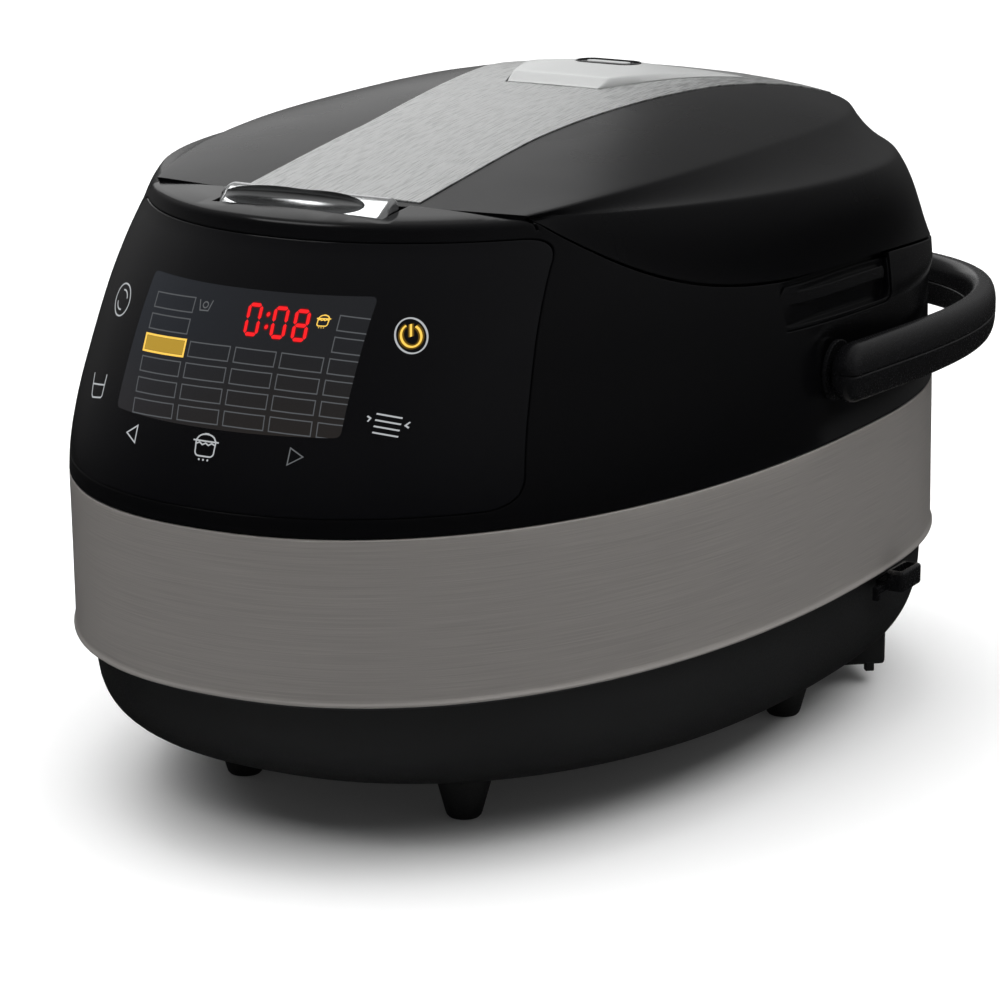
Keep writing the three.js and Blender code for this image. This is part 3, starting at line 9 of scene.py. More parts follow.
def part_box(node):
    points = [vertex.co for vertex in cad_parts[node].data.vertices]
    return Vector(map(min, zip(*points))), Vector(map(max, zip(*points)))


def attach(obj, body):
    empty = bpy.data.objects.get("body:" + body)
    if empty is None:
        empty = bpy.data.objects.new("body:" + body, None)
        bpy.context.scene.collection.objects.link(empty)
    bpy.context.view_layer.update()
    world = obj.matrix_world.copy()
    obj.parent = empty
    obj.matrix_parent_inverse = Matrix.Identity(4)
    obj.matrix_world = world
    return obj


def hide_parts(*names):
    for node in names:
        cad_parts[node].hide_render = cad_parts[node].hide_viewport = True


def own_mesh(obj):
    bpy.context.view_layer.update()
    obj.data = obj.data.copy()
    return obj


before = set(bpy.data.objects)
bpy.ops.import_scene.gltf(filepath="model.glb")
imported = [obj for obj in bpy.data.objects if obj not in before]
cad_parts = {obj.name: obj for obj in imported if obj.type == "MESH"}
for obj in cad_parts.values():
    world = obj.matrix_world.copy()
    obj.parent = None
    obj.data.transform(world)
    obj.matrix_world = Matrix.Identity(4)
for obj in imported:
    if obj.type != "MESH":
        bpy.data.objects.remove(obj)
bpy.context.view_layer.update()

# ------------------------------------------------------------------ studio
# A pale floor that stays white far out, a broad soft ceiling and two softboxes that gloss mirrors.
# The sky darkens towards the horizon and the front, and gloss mirrors neither ceiling nor floor.
# The camera stands at the front right.

scene = bpy.context.scene
scene.view_settings.view_transform = "Standard"

AZIMUTH = radians(30.034)
ELEVATION = radians(14.913)
CAMERA_PLACE = (0.679, -1.2005, 0.4464)
LENS = 133.35


def looking(azimuth, elevation):
    """The turn of a camera or light that looks back along this direction."""
    return (pi / 2 - elevation, 0, azimuth)


camera = bpy.data.objects.new("camera", bpy.data.cameras.new("camera"))
camera.location = CAMERA_PLACE
camera.rotation_euler = looking(AZIMUTH, ELEVATION)
camera.data.lens = LENS
camera.data.sensor_width = 36
scene.collection.objects.link(camera)
scene.camera = camera


def softbox(name, place, target, size, power, mirrored=True):
    """A rectangular lamp that faces its target, and that gloss mirrors or not."""
    lamp = bpy.data.lights.new(name, "AREA")
    lamp.shape = "RECTANGLE"
    lamp.size, lamp.size_y = size
    lamp.energy = power
    lamp_object = bpy.data.objects.new(name, lamp)
    lamp_object.location = place
    aim = Vector(target) - Vector(place)
    lamp_object.rotation_euler = aim.to_track_quat("-Z", "Y").to_euler()
    lamp_object.visible_glossy = mirrored
    scene.collection.objects.link(lamp_object)


softbox("ceiling", (0, -0.1, 2.7), (0, -0.1, 0), (6, 6), 235, mirrored=False)
softbox("overhead", (-1.06, -0.08, 2.15), (0, 0, 0.2), (0.8, 0.7), 4.5)
softbox("rear_left", (-1.6, 1.78, 1.1), (0, 0.05, 0.22), (1.3, 1.5), 3.8)


def shader_of(material):
    return material.node_tree.nodes["Principled BSDF"]


def spread(tree, source, span, levels=(0, 1)):
    """Takes a value from one span to another, held at both ends."""
    node = tree.nodes.new("ShaderNodeMapRange")
    node.inputs["From Min"].default_value, node.inputs["From Max"].default_value = span
    node.inputs["To Min"].default_value, node.inputs["To Max"].default_value = levels
    tree.links.new(source, node.inputs["Value"])
    return node.outputs["Result"]


world = bpy.data.worlds.new("studio")
world.use_nodes = True
sky_nodes, sky_links = world.node_tree.nodes, world.node_tree.links
sky_place = sky_nodes.new("ShaderNodeTexCoord")
sky_split = sky_nodes.new("ShaderNodeSeparateXYZ")
sky_links.new(sky_place.outputs["Generated"], sky_split.inputs["Vector"])
sky_level = sky_nodes.new("ShaderNodeMath")
sky_level.operation = "MULTIPLY"
by_height = spread(world.node_tree, sky_split.outputs["Z"], (-0.2, 0.45), (0.015, 0.25))
by_depth = spread(world.node_tree, sky_split.outputs["Y"], (-0.7, 0.4), (0.35, 1.0))
sky_links.new(by_height, sky_level.inputs[0])
sky_links.new(by_depth, sky_level.inputs[1])
sky_links.new(sky_level.outputs["Value"], sky_nodes["Background"].inputs["Strength"])
sky_nodes["Background"].inputs["Color"].default_value = (1, 1, 1, 1)
scene.world = world

FLOOR_HALF = 14
square = ((-1, -1), (1, -1), (1, 1), (-1, 1))
floor_corners = [(x * FLOOR_HALF, y * FLOOR_HALF, 0) for x, y in square]
floor_mesh = bpy.data.meshes.new("floor")
floor_mesh.from_pydata(floor_corners, [], [(0, 1, 2, 3)])
floor = bpy.data.objects.new("floor", floor_mesh)
scene.collection.objects.link(floor)
floor_paint = bpy.data.materials.new("floor_paint")
floor_paint.use_nodes = True
floor_shader = shader_of(floor_paint)
floor_shader.inputs["Base Color"].default_value = (0.97, 0.97, 0.97, 1)
floor_shader.inputs["Roughness"].default_value = 0.9
floor_shader.inputs["Specular IOR Level"].default_value = 0.1
floor_shader.inputs["Emission Color"].default_value = (1, 1, 1, 1)
floor_nodes, floor_links = floor_paint.node_tree.nodes, floor_paint.node_tree.links
floor_place = floor_nodes.new("ShaderNodeTexCoord")
floor_distance = floor_nodes.new("ShaderNodeVectorMath")
floor_distance.operation = "LENGTH"
floor_links.new(floor_place.outputs["Object"], floor_distance.inputs[0])
distance = floor_distance.outputs["Value"]
floor_glow = spread(floor_paint.node_tree, distance, (2.0, 5.0), (0.015, 0.9))
floor_links.new(floor_glow, floor_shader.inputs["Emission Strength"])
floor.visible_glossy = False
floor_mesh.materials.append(floor_paint)

# ------------------------------------------------------------------ lower casing
# A deep tub moulded in filled polypropylene, dark grey with a fine spark texture. It carries the
# works on posts, stands on four rubber feet, and its rim sits in the ledge behind the steel band.

MM = 0.001
STATIONS = 200
shell_low, shell_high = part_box("upper_shell")
body_length = (shell_high.y - shell_low.y) / MM
half_width = (shell_high.x - shell_low.x) / MM / 2
middle_y = (shell_high.y + shell_low.y) / 2
widest = 36.6  # the egg's widest station, behind the middle of the body
front_reach = body_length / 2 + widest
rear_reach = body_length / 2 - widest
FULLNESS = (2.26, 2.62)  # of the front and the rear of the egg
band_low, band_high = (corner.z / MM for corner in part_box("steel_band"))
tub_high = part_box("base_tub")[1].z / MM
angles = np.linspace(0, 2 * pi, STATIONS, endpoint=False)
SOLVER = "MANIFOLD"


def section(half, front, rear, fullness=FULLNESS):
    return {"half": half, "front": front, "rear": rear, "fullness": fullness}


def reach_at(angle, outline, inset=0.0):
    """Distance from the widest station's centre to the outline, at an angle from straight ahead."""
    ahead = np.cos(angle) > 0
    power = np.where(ahead, outline["fullness"][0], outline["fullness"][1])
    across = np.abs(np.sin(angle)) / (outline["half"] - inset)
    along = np.abs(np.cos(angle)) / (np.where(ahead, outline["front"], outline["rear"]) - inset)
    return (across**power + along**power) ** (-1 / power)


def at_reach(angle, reach, z):
    return np.stack(
        [reach * np.sin(angle), widest - reach * np.cos(angle), np.broadcast_to(z, angle.shape)],
        axis=1,
    )


def ring(outline, inset, z):
    return at_reach(angles, reach_at(angles, outline, inset), z)


def new_piece(name, points, faces):
    """A mesh from millimetres about the middle of the body."""
    mesh = bpy.data.meshes.new(name)
    placed = np.asarray(points, float) * MM + (0, middle_y, 0)
    mesh.from_pydata(placed.tolist(), [], faces)
    piece = bpy.data.objects.new(name, mesh)
    scene.collection.objects.link(piece)
    return piece


def loft(name, rings, joined=False):
    """A skin through rings of equal count: closed by fans, or joined from the last to the first."""
    count = len(rings[0])
    points = np.concatenate(rings)
    faces = []
    for band in range(len(rings) if joined else len(rings) - 1):
        here, there = band * count, (band + 1) % len(rings) * count
        for i in range(count):
            j = (i + 1) % count
            faces.append((here + i, here + j, there + j, there + i))
    if not joined:
        hubs = np.array([rings[0].mean(axis=0), rings[-1].mean(axis=0)])
        points = np.concatenate([points, hubs])
        low_hub, high_hub = len(points) - 2, len(points) - 1
        last = (len(rings) - 1) * count
        for i in range(count):
            j = (i + 1) % count
            faces.append((low_hub, j, i))
            faces.append((high_hub, last + i, last + j))
    return new_piece(name, points, faces)


def outward(piece):
    """Turns a closed skin's faces to point out."""
    work = bmesh.new()
    work.from_mesh(piece.data)
    bmesh.ops.remove_doubles(work, verts=work.verts, dist=1e-6)
    bmesh.ops.recalc_face_normals(work, faces=work.faces)
    work.to_mesh(piece.data)
    work.free()
    return piece


def centred(piece):
    """Brings a piece drawn about the middle of the body to the origin, to be set out from there."""
    piece.data.transform(Matrix.Translation((0, -middle_y, 0)))
    return piece


def settle(piece):
    """Puts the result of a piece's modifiers into its mesh."""
    depsgraph = bpy.context.evaluated_depsgraph_get()
    mesh = bpy.data.meshes.new_from_object(piece.evaluated_get(depsgraph))
    piece.modifiers.clear()
    old = piece.data
    piece.data = mesh
    mesh.name = piece.name
    bpy.data.meshes.remove(old)
    return piece


def shaped(piece, how, *tools):
    """Joins, cuts or keeps what is common, and takes the tools away."""
    for tool in tools:
        modifier = piece.modifiers.new("shape", "BOOLEAN")
        modifier.operation = how
        modifier.solver = SOLVER
        modifier.object = tool
    settle(piece)
    for tool in tools:
        bpy.data.meshes.remove(tool.data)
    return piece


def cut(piece, *tools):
    return shaped(piece, "DIFFERENCE", *tools)


def joined(piece, *tools):
    return shaped(piece, "UNION", *tools)


def common(piece, *tools):
    return shaped(piece, "INTERSECT", *tools)


def block(low, high, name="block"):
    """A box between two corners."""
    (x0, y0, z0), (x1, y1, z1) = low, high
    points = [(x, y, z) for z in (z0, z1) for x, y in ((x0, y0), (x1, y0), (x1, y1), (x0, y1))]
    faces = [(3, 2, 1, 0), (4, 5, 6, 7)]
    faces += [(i, (i + 1) % 4, 4 + (i + 1) % 4, 4 + i) for i in range(4)]
    return new_piece(name, points, faces)


def smooth_shaded(piece, angle):
    """Shades a piece smoothly except across edges sharper than the angle."""
    mesh = piece.data
    mesh.polygons.foreach_set("use_smooth", [True] * len(mesh.polygons))
    mesh.set_sharp_from_angle(angle=radians(angle))
    mesh.update()
    return piece


def dress(piece, material, body, slot, *nodes):
    """Gives a piece its material and its body, and hides the CAD nodes that it stands for. The slot
    is not used.
    """
    piece.data.materials.clear()
    piece.data.materials.append(material)
    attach(piece, body)
    if nodes:
        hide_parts(*nodes)
    return piece


def finish(name, colour, roughness, metallic=0.0, specular=0.5):
    """A material with its shader's plain values set."""
    material = bpy.data.materials.new(name)
    material.use_nodes = True
    shader = shader_of(material)
    shader.inputs["Base Color"].default_value = (*colour, 1)
    shader.inputs["Roughness"].default_value = roughness
    shader.inputs["Metallic"].default_value = metallic
    shader.inputs["Specular IOR Level"].default_value = specular
    return material


def grain(material, scale, stretch=(1, 1, 1), detail=3.0):
    """A noise over the piece's own coordinates, stretched along its axes."""
    nodes, links = material.node_tree.nodes, material.node_tree.links
    place = nodes.new("ShaderNodeTexCoord")
    mapping = nodes.new("ShaderNodeMapping")
    mapping.inputs["Scale"].default_value = stretch
    noise = nodes.new("ShaderNodeTexNoise")
    noise.inputs["Scale"].default_value = scale
    noise.inputs["Detail"].default_value = detail
    links.new(place.outputs["Object"], mapping.inputs["Vector"])
    links.new(mapping.outputs["Vector"], noise.inputs["Vector"])
    return noise.outputs["Fac"]


NOISE_SPAN = (0.35, 0.65)  # where most of a noise's values lie


def varied(material, source, socket, low, high):
    """Drives a number on the shader between low and high."""
    tree = material.node_tree
    driven = spread(tree, source, NOISE_SPAN, (low, high))
    tree.links.new(driven, shader_of(material).inputs[socket])


def tinted(material, source, dark, light, span=NOISE_SPAN):
    """Drives the colour between two tones."""
    nodes, links = material.node_tree.nodes, material.node_tree.links
    ramp = nodes.new("ShaderNodeValToRGB")
    ramp.color_ramp.elements[0].position, ramp.color_ramp.elements[1].position = span
    ramp.color_ramp.elements[0].color = (*dark, 1)
    ramp.color_ramp.elements[1].color = (*light, 1)
    links.new(source, ramp.inputs["Fac"])
    links.new(ramp.outputs["Color"], shader_of(material).inputs["Base Color"])


def relief(material, source, depth, edge=0.0):
    """Raises the grain by a depth in metres, and rounds the edges seen in the light by a radius."""
    nodes, links = material.node_tree.nodes, material.node_tree.links
    bump = nodes.new("ShaderNodeBump")
    bump.inputs["Distance"].default_value = depth
    bump.inputs["Strength"].default_value = 1
    links.new(source, bump.inputs["Height"])
    if edge:
        rounding = nodes.new("ShaderNodeBevel")
        rounding.samples = 4
        rounding.inputs["Radius"].default_value = edge
        links.new(rounding.outputs["Normal"], bump.inputs["Normal"])
    links.new(bump.outputs["Normal"], shader_of(material).inputs["Normal"])


def through(points, steps):
    """A smooth curve through points, as rows of numbers."""
    points = np.asarray(points, float)
    ends = np.concatenate([[2 * points[0] - points[1]], points, [2 * points[-1] - points[-2]]])
    rows = []
    for i in range(1, len(ends) - 2):
        before, here, there, after = ends[i - 1 : i + 3]
        for t in np.linspace(0, 1, steps, endpoint=False):
            rows.append(
                0.5 * (2 * here + (there - before) * t
                + (2 * before - 5 * here + 4 * there - after) * t**2
                + (3 * here - before - 3 * there + after) * t**3)
            )
    rows.append(points[-1])
    return np.array(rows)


BAND_FLARE = 2.5
BAND_TUCK = 4.4
band_foot = section(half_width + BAND_FLARE, front_reach - BAND_TUCK, rear_reach - BAND_TUCK)
band_head = section(half_width, front_reach, rear_reach)
TUB_WALL = 2.6
HULL = [(31, 17), (25.5, 17.7), (20.5, 20), (12.3, 25.5), (7, 33.5), (4.3, 44), (3.5, 60.5)]
FRONT_STRETCH = 2.75  # the hull rises this much more gently towards the front
REAR_STRETCH = 1.1


def hull_ring(inward, z, inset=0.0):
    """The tub's outline, drawn in from the band's foot."""
    outline = section(
        band_foot["half"] - inward,
        band_foot["front"] - inward * FRONT_STRETCH,
        band_foot["rear"] - inward * REAR_STRETCH,
    )
    return ring(outline, inset, z)


hull = through(HULL, 4)
hull_outside = [hull_ring(inward, z) for inward, z in hull]
hull_inside = [hull_ring(inward, z + TUB_WALL * 0.8, TUB_WALL) for inward, z in hull[::-1]]
hull_inside[0][:, 2] = hull[-1][1]
tub = loft("lower_casing", hull_outside + hull_inside)

casing_grey = finish("casing_grey", (0.012, 0.0121, 0.0124), 0.42, specular=0.35)
casing_spark = grain(casing_grey, 1900, detail=2)
tinted(casing_grey, grain(casing_grey, 9), (0.010, 0.0102, 0.0105), (0.013, 0.0132, 0.0136))
varied(casing_grey, casing_spark, "Roughness", 0.36, 0.5)
relief(casing_grey, casing_spark, 0.00003)
smooth_shaded(tub, 40)
dress(tub, casing_grey, "body", "grey_base", "base_tub")

# ------------------------------------------------------------------ feet
# Four tapered rubber feet, pushed into the underside of the lower casing. One foot is turned and
# set out at the four places, and each runs up beside the rounded hull.

FOOT_SIDES = 40
foot_names = ["foot_front_left", "foot_front_right", "foot_rear_left", "foot_rear_right"]
foot_boxes = [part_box(name) for name in foot_names]
foot_spots = [((low + high) / 2) / MM for low, high in foot_boxes]
foot_height = foot_boxes[0][1].z / MM
FOOT_PROFILE = [(0, 0), (4.6, 0), (5.6, 0.3), (6.3, 1.1), (6.7, 2.2)]


def turned_rings(profile, sides, centre):
    """One ring for each (radius, height) point of a profile."""
    turn = np.linspace(0, 2 * pi, sides, endpoint=False)
    rings = []
    for radius, z in profile:
        x, y = centre[0] + radius * np.cos(turn), centre[1] + radius * np.sin(turn)
        rings.append(np.stack([x, y, np.full(sides, z)], axis=1))
    return rings


def turned(name, profile, sides, centre=(0, 0)):
    """A piece turned about a vertical axis, from points that start and end on it."""
    off_axis = [(max(radius, 0.001), z) for radius, z in profile]
    return loft(name, turned_rings(off_axis, sides, centre))


def turned_ring(name, profile, sides, centre):
    """The same for a ring whose profile closes on itself."""
    return outward(loft(name, turned_rings(profile, sides, centre), joined=True))


class Tree:
    """A Geometry Nodes tree with named inputs, ready to be put on a piece."""

    def __init__(self, name, **inputs):
        self.group = bpy.data.node_groups.new(name, "GeometryNodeTree")
        faces = self.group.interface
        faces.new_socket("Geometry", in_out="INPUT", socket_type="NodeSocketGeometry")
        self.names = {}
        for label, value in inputs.items():
            kind = "NodeSocketInt" if isinstance(value, int) else "NodeSocketFloat"
            socket = faces.new_socket(label, in_out="INPUT", socket_type=kind)
            socket.default_value = value
            self.names[label] = socket.identifier
        self.material = faces.new_socket("Finish", in_out="INPUT", socket_type="NodeSocketMaterial")
        faces.new_socket("Geometry", in_out="OUTPUT", socket_type="NodeSocketGeometry")
        self.start = self.group.nodes.new("NodeGroupInput")
        self.end = self.group.nodes.new("NodeGroupOutput")

    def node(self, kind, settings=(), **sockets):
        made = self.group.nodes.new(kind)
        for label, value in dict(settings).items():
            setattr(made, label, value)
        for label, value in sockets.items():
            self.feed(made.inputs[label.replace("_", " ")], value)
        return made

    def feed(self, socket, value):
        if isinstance(value, bpy.types.NodeSocket):
            self.group.links.new(value, socket)
        else:
            socket.default_value = value

    def finish_with(self, instances):
        """Realizes the instances and gives them the material."""
        real = self.node("GeometryNodeRealizeInstances", Geometry=instances)
        painted = self.node(
            "GeometryNodeSetMaterial",
            Geometry=real.outputs["Geometry"],
            Material=self.start.outputs["Finish"],
        )
        self.group.links.new(painted.outputs["Geometry"], self.end.inputs["Geometry"])

    def grown_on(self, piece, material, **values):
        """Puts the tree on a piece and leaves its result as a plain mesh."""
        modifier = piece.modifiers.new(self.group.name, "NODES")
        modifier.node_group = self.group
        for label, value in values.items():
            modifier[self.names[label]] = value
        modifier[self.material.identifier] = material
        settle(piece)
        return piece


def copies_at(name, pattern, spots, material, sizes=None):
    """The pattern set out at a list of points, each with its own size, as one mesh."""
    base = new_piece(name, spots, [])
    size = base.data.attributes.new("size", "FLOAT_VECTOR", "POINT")
    size.data.foreach_set("vector", np.ravel([(1, 1, 1)] * len(spots) if sizes is None else sizes))
    tree = Tree(name + "_layout", Scale=1.0)
    shape = tree.node("GeometryNodeObjectInfo", {"transform_space": "ORIGINAL"}, Object=pattern)
    points = tree.node("GeometryNodeMeshToPoints", Mesh=tree.start.outputs["Geometry"])
    own_size = tree.node(
        "GeometryNodeInputNamedAttribute", {"data_type": "FLOAT_VECTOR"}, Name="size"
    )
    scaled = tree.node(
        "ShaderNodeVectorMath", {"operation": "SCALE"}, Scale=tree.start.outputs["Scale"]
    )
    tree.feed(scaled.inputs[0], own_size.outputs["Attribute"])
    copies = tree.node(
        "GeometryNodeInstanceOnPoints",
        Points=points.outputs["Points"],
        Instance=shape.outputs["Geometry"],
        Scale=scaled.outputs["Vector"],
    )
    tree.finish_with(copies.outputs["Instances"])
    tree.grown_on(base, material, Scale=1.0)
    bpy.data.meshes.remove(pattern.data)
    return base


foot_shank = [(9.6, 13), (11.8, foot_height), (0, foot_height)]
foot_pattern = centred(turned("foot_pattern", FOOT_PROFILE + foot_shank, FOOT_SIDES))
foot_rubber = finish("foot_rubber", (0.012, 0.012, 0.0125), 0.72, specular=0.35)
rubber_grain = grain(foot_rubber, 1200)
tinted(foot_rubber, rubber_grain, (0.010, 0.010, 0.0105), (0.016, 0.016, 0.0165))
relief(foot_rubber, rubber_grain, 0.00004)
foot_places = [(spot.x, spot.y - middle_y / MM, 0) for spot in foot_spots]
feet = copies_at("feet", foot_pattern, foot_places, foot_rubber)
smooth_shaded(feet, 35)
dress(feet, foot_rubber, "body", "foot_rubber", *foot_names)

# ------------------------------------------------------------------ heat well and heating works
# A well of thin pressed aluminium hangs from the upper casing's shelf, with a heater band round it.
# Under its open floor stand the cast heating plate and the sprung sensor that feels the bowl.

WIDEST_SPOT = (0, widest)
WELL_TOP = 171.3
WELL_SHEET = 1.0
WELL_FLOOR = 24
WELL_OPENING = 26
WELL_SHOULDER = 73  # the wall stands plumb above this height
HEATER_THICKNESS = 1.5
well_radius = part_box("side_heater")[1].x / MM - HEATER_THICKNESS
well_floor_radius = well_radius - 22


def repainted(material, *nodes):
    """Gives carried-over CAD nodes a finish."""
    for node in nodes:
        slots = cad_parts[node].data.materials
        slots.clear()
        slots.append(material)


well_profile = [
    (WELL_OPENING, WELL_FLOOR),
    (well_floor_radius, WELL_FLOOR),
    (well_floor_radius + 8, WELL_FLOOR + 6),
    (well_radius - 1.4, WELL_SHOULDER - 4),
    (well_radius, WELL_SHOULDER),
    (well_radius, WELL_TOP),
    (well_radius + 6, WELL_TOP),
    (well_radius + 6, WELL_TOP + WELL_SHEET),
    (well_radius - 0.2, WELL_TOP + WELL_SHEET),
    (well_radius - WELL_SHEET, WELL_TOP + 0.4),
    (well_radius - WELL_SHEET, WELL_SHOULDER),
    (well_radius - 1.4 - WELL_SHEET, WELL_SHOULDER - 3.6),
    (well_floor_radius + 7, WELL_FLOOR + 6.6),
    (well_floor_radius - 0.4, WELL_FLOOR + WELL_SHEET),
    (WELL_OPENING, WELL_FLOOR + WELL_SHEET),
]
well = turned_ring("heat_well", well_profile, 128, WIDEST_SPOT)
pressed_aluminium = finish("pressed_aluminium", (0.56, 0.56, 0.555), 0.42, metallic=0.75)
drawn_lines = grain(pressed_aluminium, 30, stretch=(1, 1, 14), detail=4)
tinted(pressed_aluminium, drawn_lines, (0.5, 0.5, 0.495), (0.62, 0.62, 0.615))
varied(pressed_aluminium, drawn_lines, "Roughness", 0.32, 0.46)
relief(pressed_aluminium, drawn_lines, 0.00002)
smooth_shaded(well, 35)
dress(well, pressed_aluminium, "body", "plain_sheet", "well")

cast_aluminium = finish("cast_aluminium", (0.36, 0.36, 0.355), 0.55, metallic=0.9)
cast_grain = grain(cast_aluminium, 700, detail=4)
tinted(cast_aluminium, grain(cast_aluminium, 40), (0.3, 0.3, 0.295), (0.4, 0.4, 0.395))
varied(cast_aluminium, cast_grain, "Roughness", 0.48, 0.64)
relief(cast_aluminium, cast_grain, 0.00008)
repainted(cast_aluminium, "heating_plate", "side_heater")

zinc_sheet = finish("zinc_sheet", (0.5, 0.51, 0.52), 0.36, metallic=1.0)
spangle = grain(zinc_sheet, 160, detail=1)
tinted(zinc_sheet, spangle, (0.43, 0.44, 0.45), (0.56, 0.57, 0.58))
varied(zinc_sheet, spangle, "Roughness", 0.3, 0.44)
relief(zinc_sheet, grain(zinc_sheet, 900), 0.000015, edge=0.0003)
repainted(zinc_sheet, "thermostat", "thermal_fuse", "sensor_bracket")

spring_steel = finish("spring_steel", (0.34, 0.34, 0.345), 0.3, metallic=1.0)
wire_lines = grain(spring_steel, 500, detail=2)
tinted(spring_steel, wire_lines, (0.29, 0.29, 0.295), (0.39, 0.39, 0.395))
varied(spring_steel, wire_lines, "Roughness", 0.24, 0.38)
relief(spring_steel, wire_lines, 0.00001)

SPRING_LOW, SPRING_HIGH = (corner.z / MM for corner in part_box("thermostat_spring"))
SPRING_WIRE = 0.6
SPRING_RADIUS = 9
SPRING_TURNS = 3.0
spring_rise = SPRING_HIGH - SPRING_LOW - 2 * SPRING_WIRE
spring_tree = Tree(
    "sensor_coil", Radius=SPRING_RADIUS * MM, Turns=SPRING_TURNS, Rise=spring_rise * MM
)
spiral = spring_tree.node(
    "GeometryNodeCurveSpiral",
    Resolution=40,
    Rotations=spring_tree.start.outputs["Turns"],
    Start_Radius=spring_tree.start.outputs["Radius"],
    End_Radius=spring_tree.start.outputs["Radius"],
    Height=spring_tree.start.outputs["Rise"],
)
wire = spring_tree.node("GeometryNodeCurvePrimitiveCircle", Resolution=10, Radius=SPRING_WIRE * MM)
swept = spring_tree.node(
    "GeometryNodeCurveToMesh",
    Curve=spiral.outputs["Curve"],
    Profile_Curve=wire.outputs["Curve"],
    Fill_Caps=True,
)
spring_tree.finish_with(swept.outputs["Mesh"])
coil = spring_tree.grown_on(new_piece("sensor_spring", [(0, 0, 0)], []), spring_steel)
coil_place = (0, middle_y + widest * MM, (SPRING_LOW + SPRING_WIRE) * MM)
coil.data.transform(Matrix.Translation(coil_place))
smooth_shaded(coil, 60)
dress(coil, spring_steel, "body", "spring_steel", "thermostat_spring")
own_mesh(coil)

# ------------------------------------------------------------------ power board
# A glass-filled board with the transformer, relay and terminals, screwed to posts in the lower
# casing. Its shape is the CAD's own and only gets its finish here.

board_green = finish("board_green", (0.012, 0.06, 0.03), 0.5, specular=0.5)
board_weave = grain(board_green, 1100, detail=2)
tinted(board_green, grain(board_green, 70), (0.010, 0.05, 0.025), (0.016, 0.075, 0.038))
varied(board_green, board_weave, "Roughness", 0.42, 0.58)
relief(board_green, board_weave, 0.00003, edge=0.0002)
repainted(board_green, "power_board")

# ------------------------------------------------------------------ steel band and its rail
# Brushed stainless strip, rolled to the egg and closed behind. Its foot is rolled outwards and its
# top edge turned in. A dark moulded rail behind it joins the two casings and shows as a thin line.

BAND_WALL = 1.0
FIT = 0.3
BAND_STEPS = 12


def band_ring(share):
    """The band's outline at a share of its height."""
    sizes = {key: band_foot[key] + (band_head[key] - band_foot[key]) * share
             for key in ("half", "front", "rear")}
    return ring(section(**sizes), 0, band_low + (band_high - band_low) * share)


band_rings = [
    ring(band_foot, 0.3, band_low),
    ring(band_foot, -0.3, band_low + 0.05),
    ring(band_foot, -0.75, band_low + 0.4),
    ring(band_foot, -0.8, band_low + 0.8),
    ring(band_foot, -0.55, band_low + 1.2),
    ring(band_foot, -0.1, band_low + 1.9),
]
band_rings += [band_ring(share) for share in np.linspace(0.05, 0.985, BAND_STEPS)]
band_rings += [
    ring(band_head, 0.12, band_high - 0.3),
    ring(band_head, 0.4, band_high),
    ring(band_head, BAND_WALL, band_high),
    ring(band_foot, BAND_WALL, band_low),
]
band = outward(loft("steel_band_skin", band_rings, joined=True))

brushed_band = finish("brushed_band", (0.6, 0.57, 0.54), 0.34, metallic=0.75)
fine_lines = grain(brushed_band, 30, stretch=(1, 1, 130), detail=6)
tinted(brushed_band, fine_lines, (0.54, 0.51, 0.485), (0.66, 0.625, 0.595), span=(0.3, 0.7))
varied(brushed_band, fine_lines, "Roughness", 0.30, 0.4)
relief(brushed_band, fine_lines, 0.000006)
band_shader = shader_of(brushed_band)
band_shader.inputs["Anisotropic"].default_value = 0.55
tangent = brushed_band.node_tree.nodes.new("ShaderNodeTangent")
tangent.direction_type = "RADIAL"
tangent.axis = "Z"
brushed_band.node_tree.links.new(tangent.outputs["Tangent"], band_shader.inputs["Tangent"])
smooth_shaded(band, 50)
dress(band, brushed_band, "body", "brushed_band", "steel_band")

rail_inset = BAND_WALL + FIT
RAIL_WALL = 2
RAIL_LIP = 5
rail_rings = [
    ring(band_foot, rail_inset + 1.6, tub_high + FIT),
    ring(band_foot, rail_inset, band_low + 1),
    ring(band_head, rail_inset, band_high - 1),
    ring(band_head, rail_inset, band_high + FIT),
    ring(band_head, rail_inset + RAIL_LIP, band_high + FIT),
    ring(band_head, rail_inset + RAIL_LIP, band_high - 1.7),
    ring(band_head, rail_inset + RAIL_WALL, band_high - 6),
    ring(band_foot, rail_inset + RAIL_WALL, band_low + 6),
    ring(band_foot, rail_inset + RAIL_LIP, band_low + 2),
    ring(band_foot, rail_inset + RAIL_LIP, tub_high + FIT),
]
rail = outward(loft("band_rail", rail_rings, joined=True))
inner_black = finish("inner_black", (0.014, 0.014, 0.015), 0.5, specular=0.4)
inner_grain = grain(inner_black, 1400)
varied(inner_black, inner_grain, "Roughness", 0.42, 0.58)
relief(inner_black, inner_grain, 0.00002)
smooth_shaded(rail, 40)
dress(rail, inner_black, "body", "inner_plastic", "band_frame")

# ------------------------------------------------------------------ upper casing
# One large polished moulding in black ABS: the leaning front, the deck round the button, the side
# walls up to the seam, and inside them a shelf that carries the heat well.

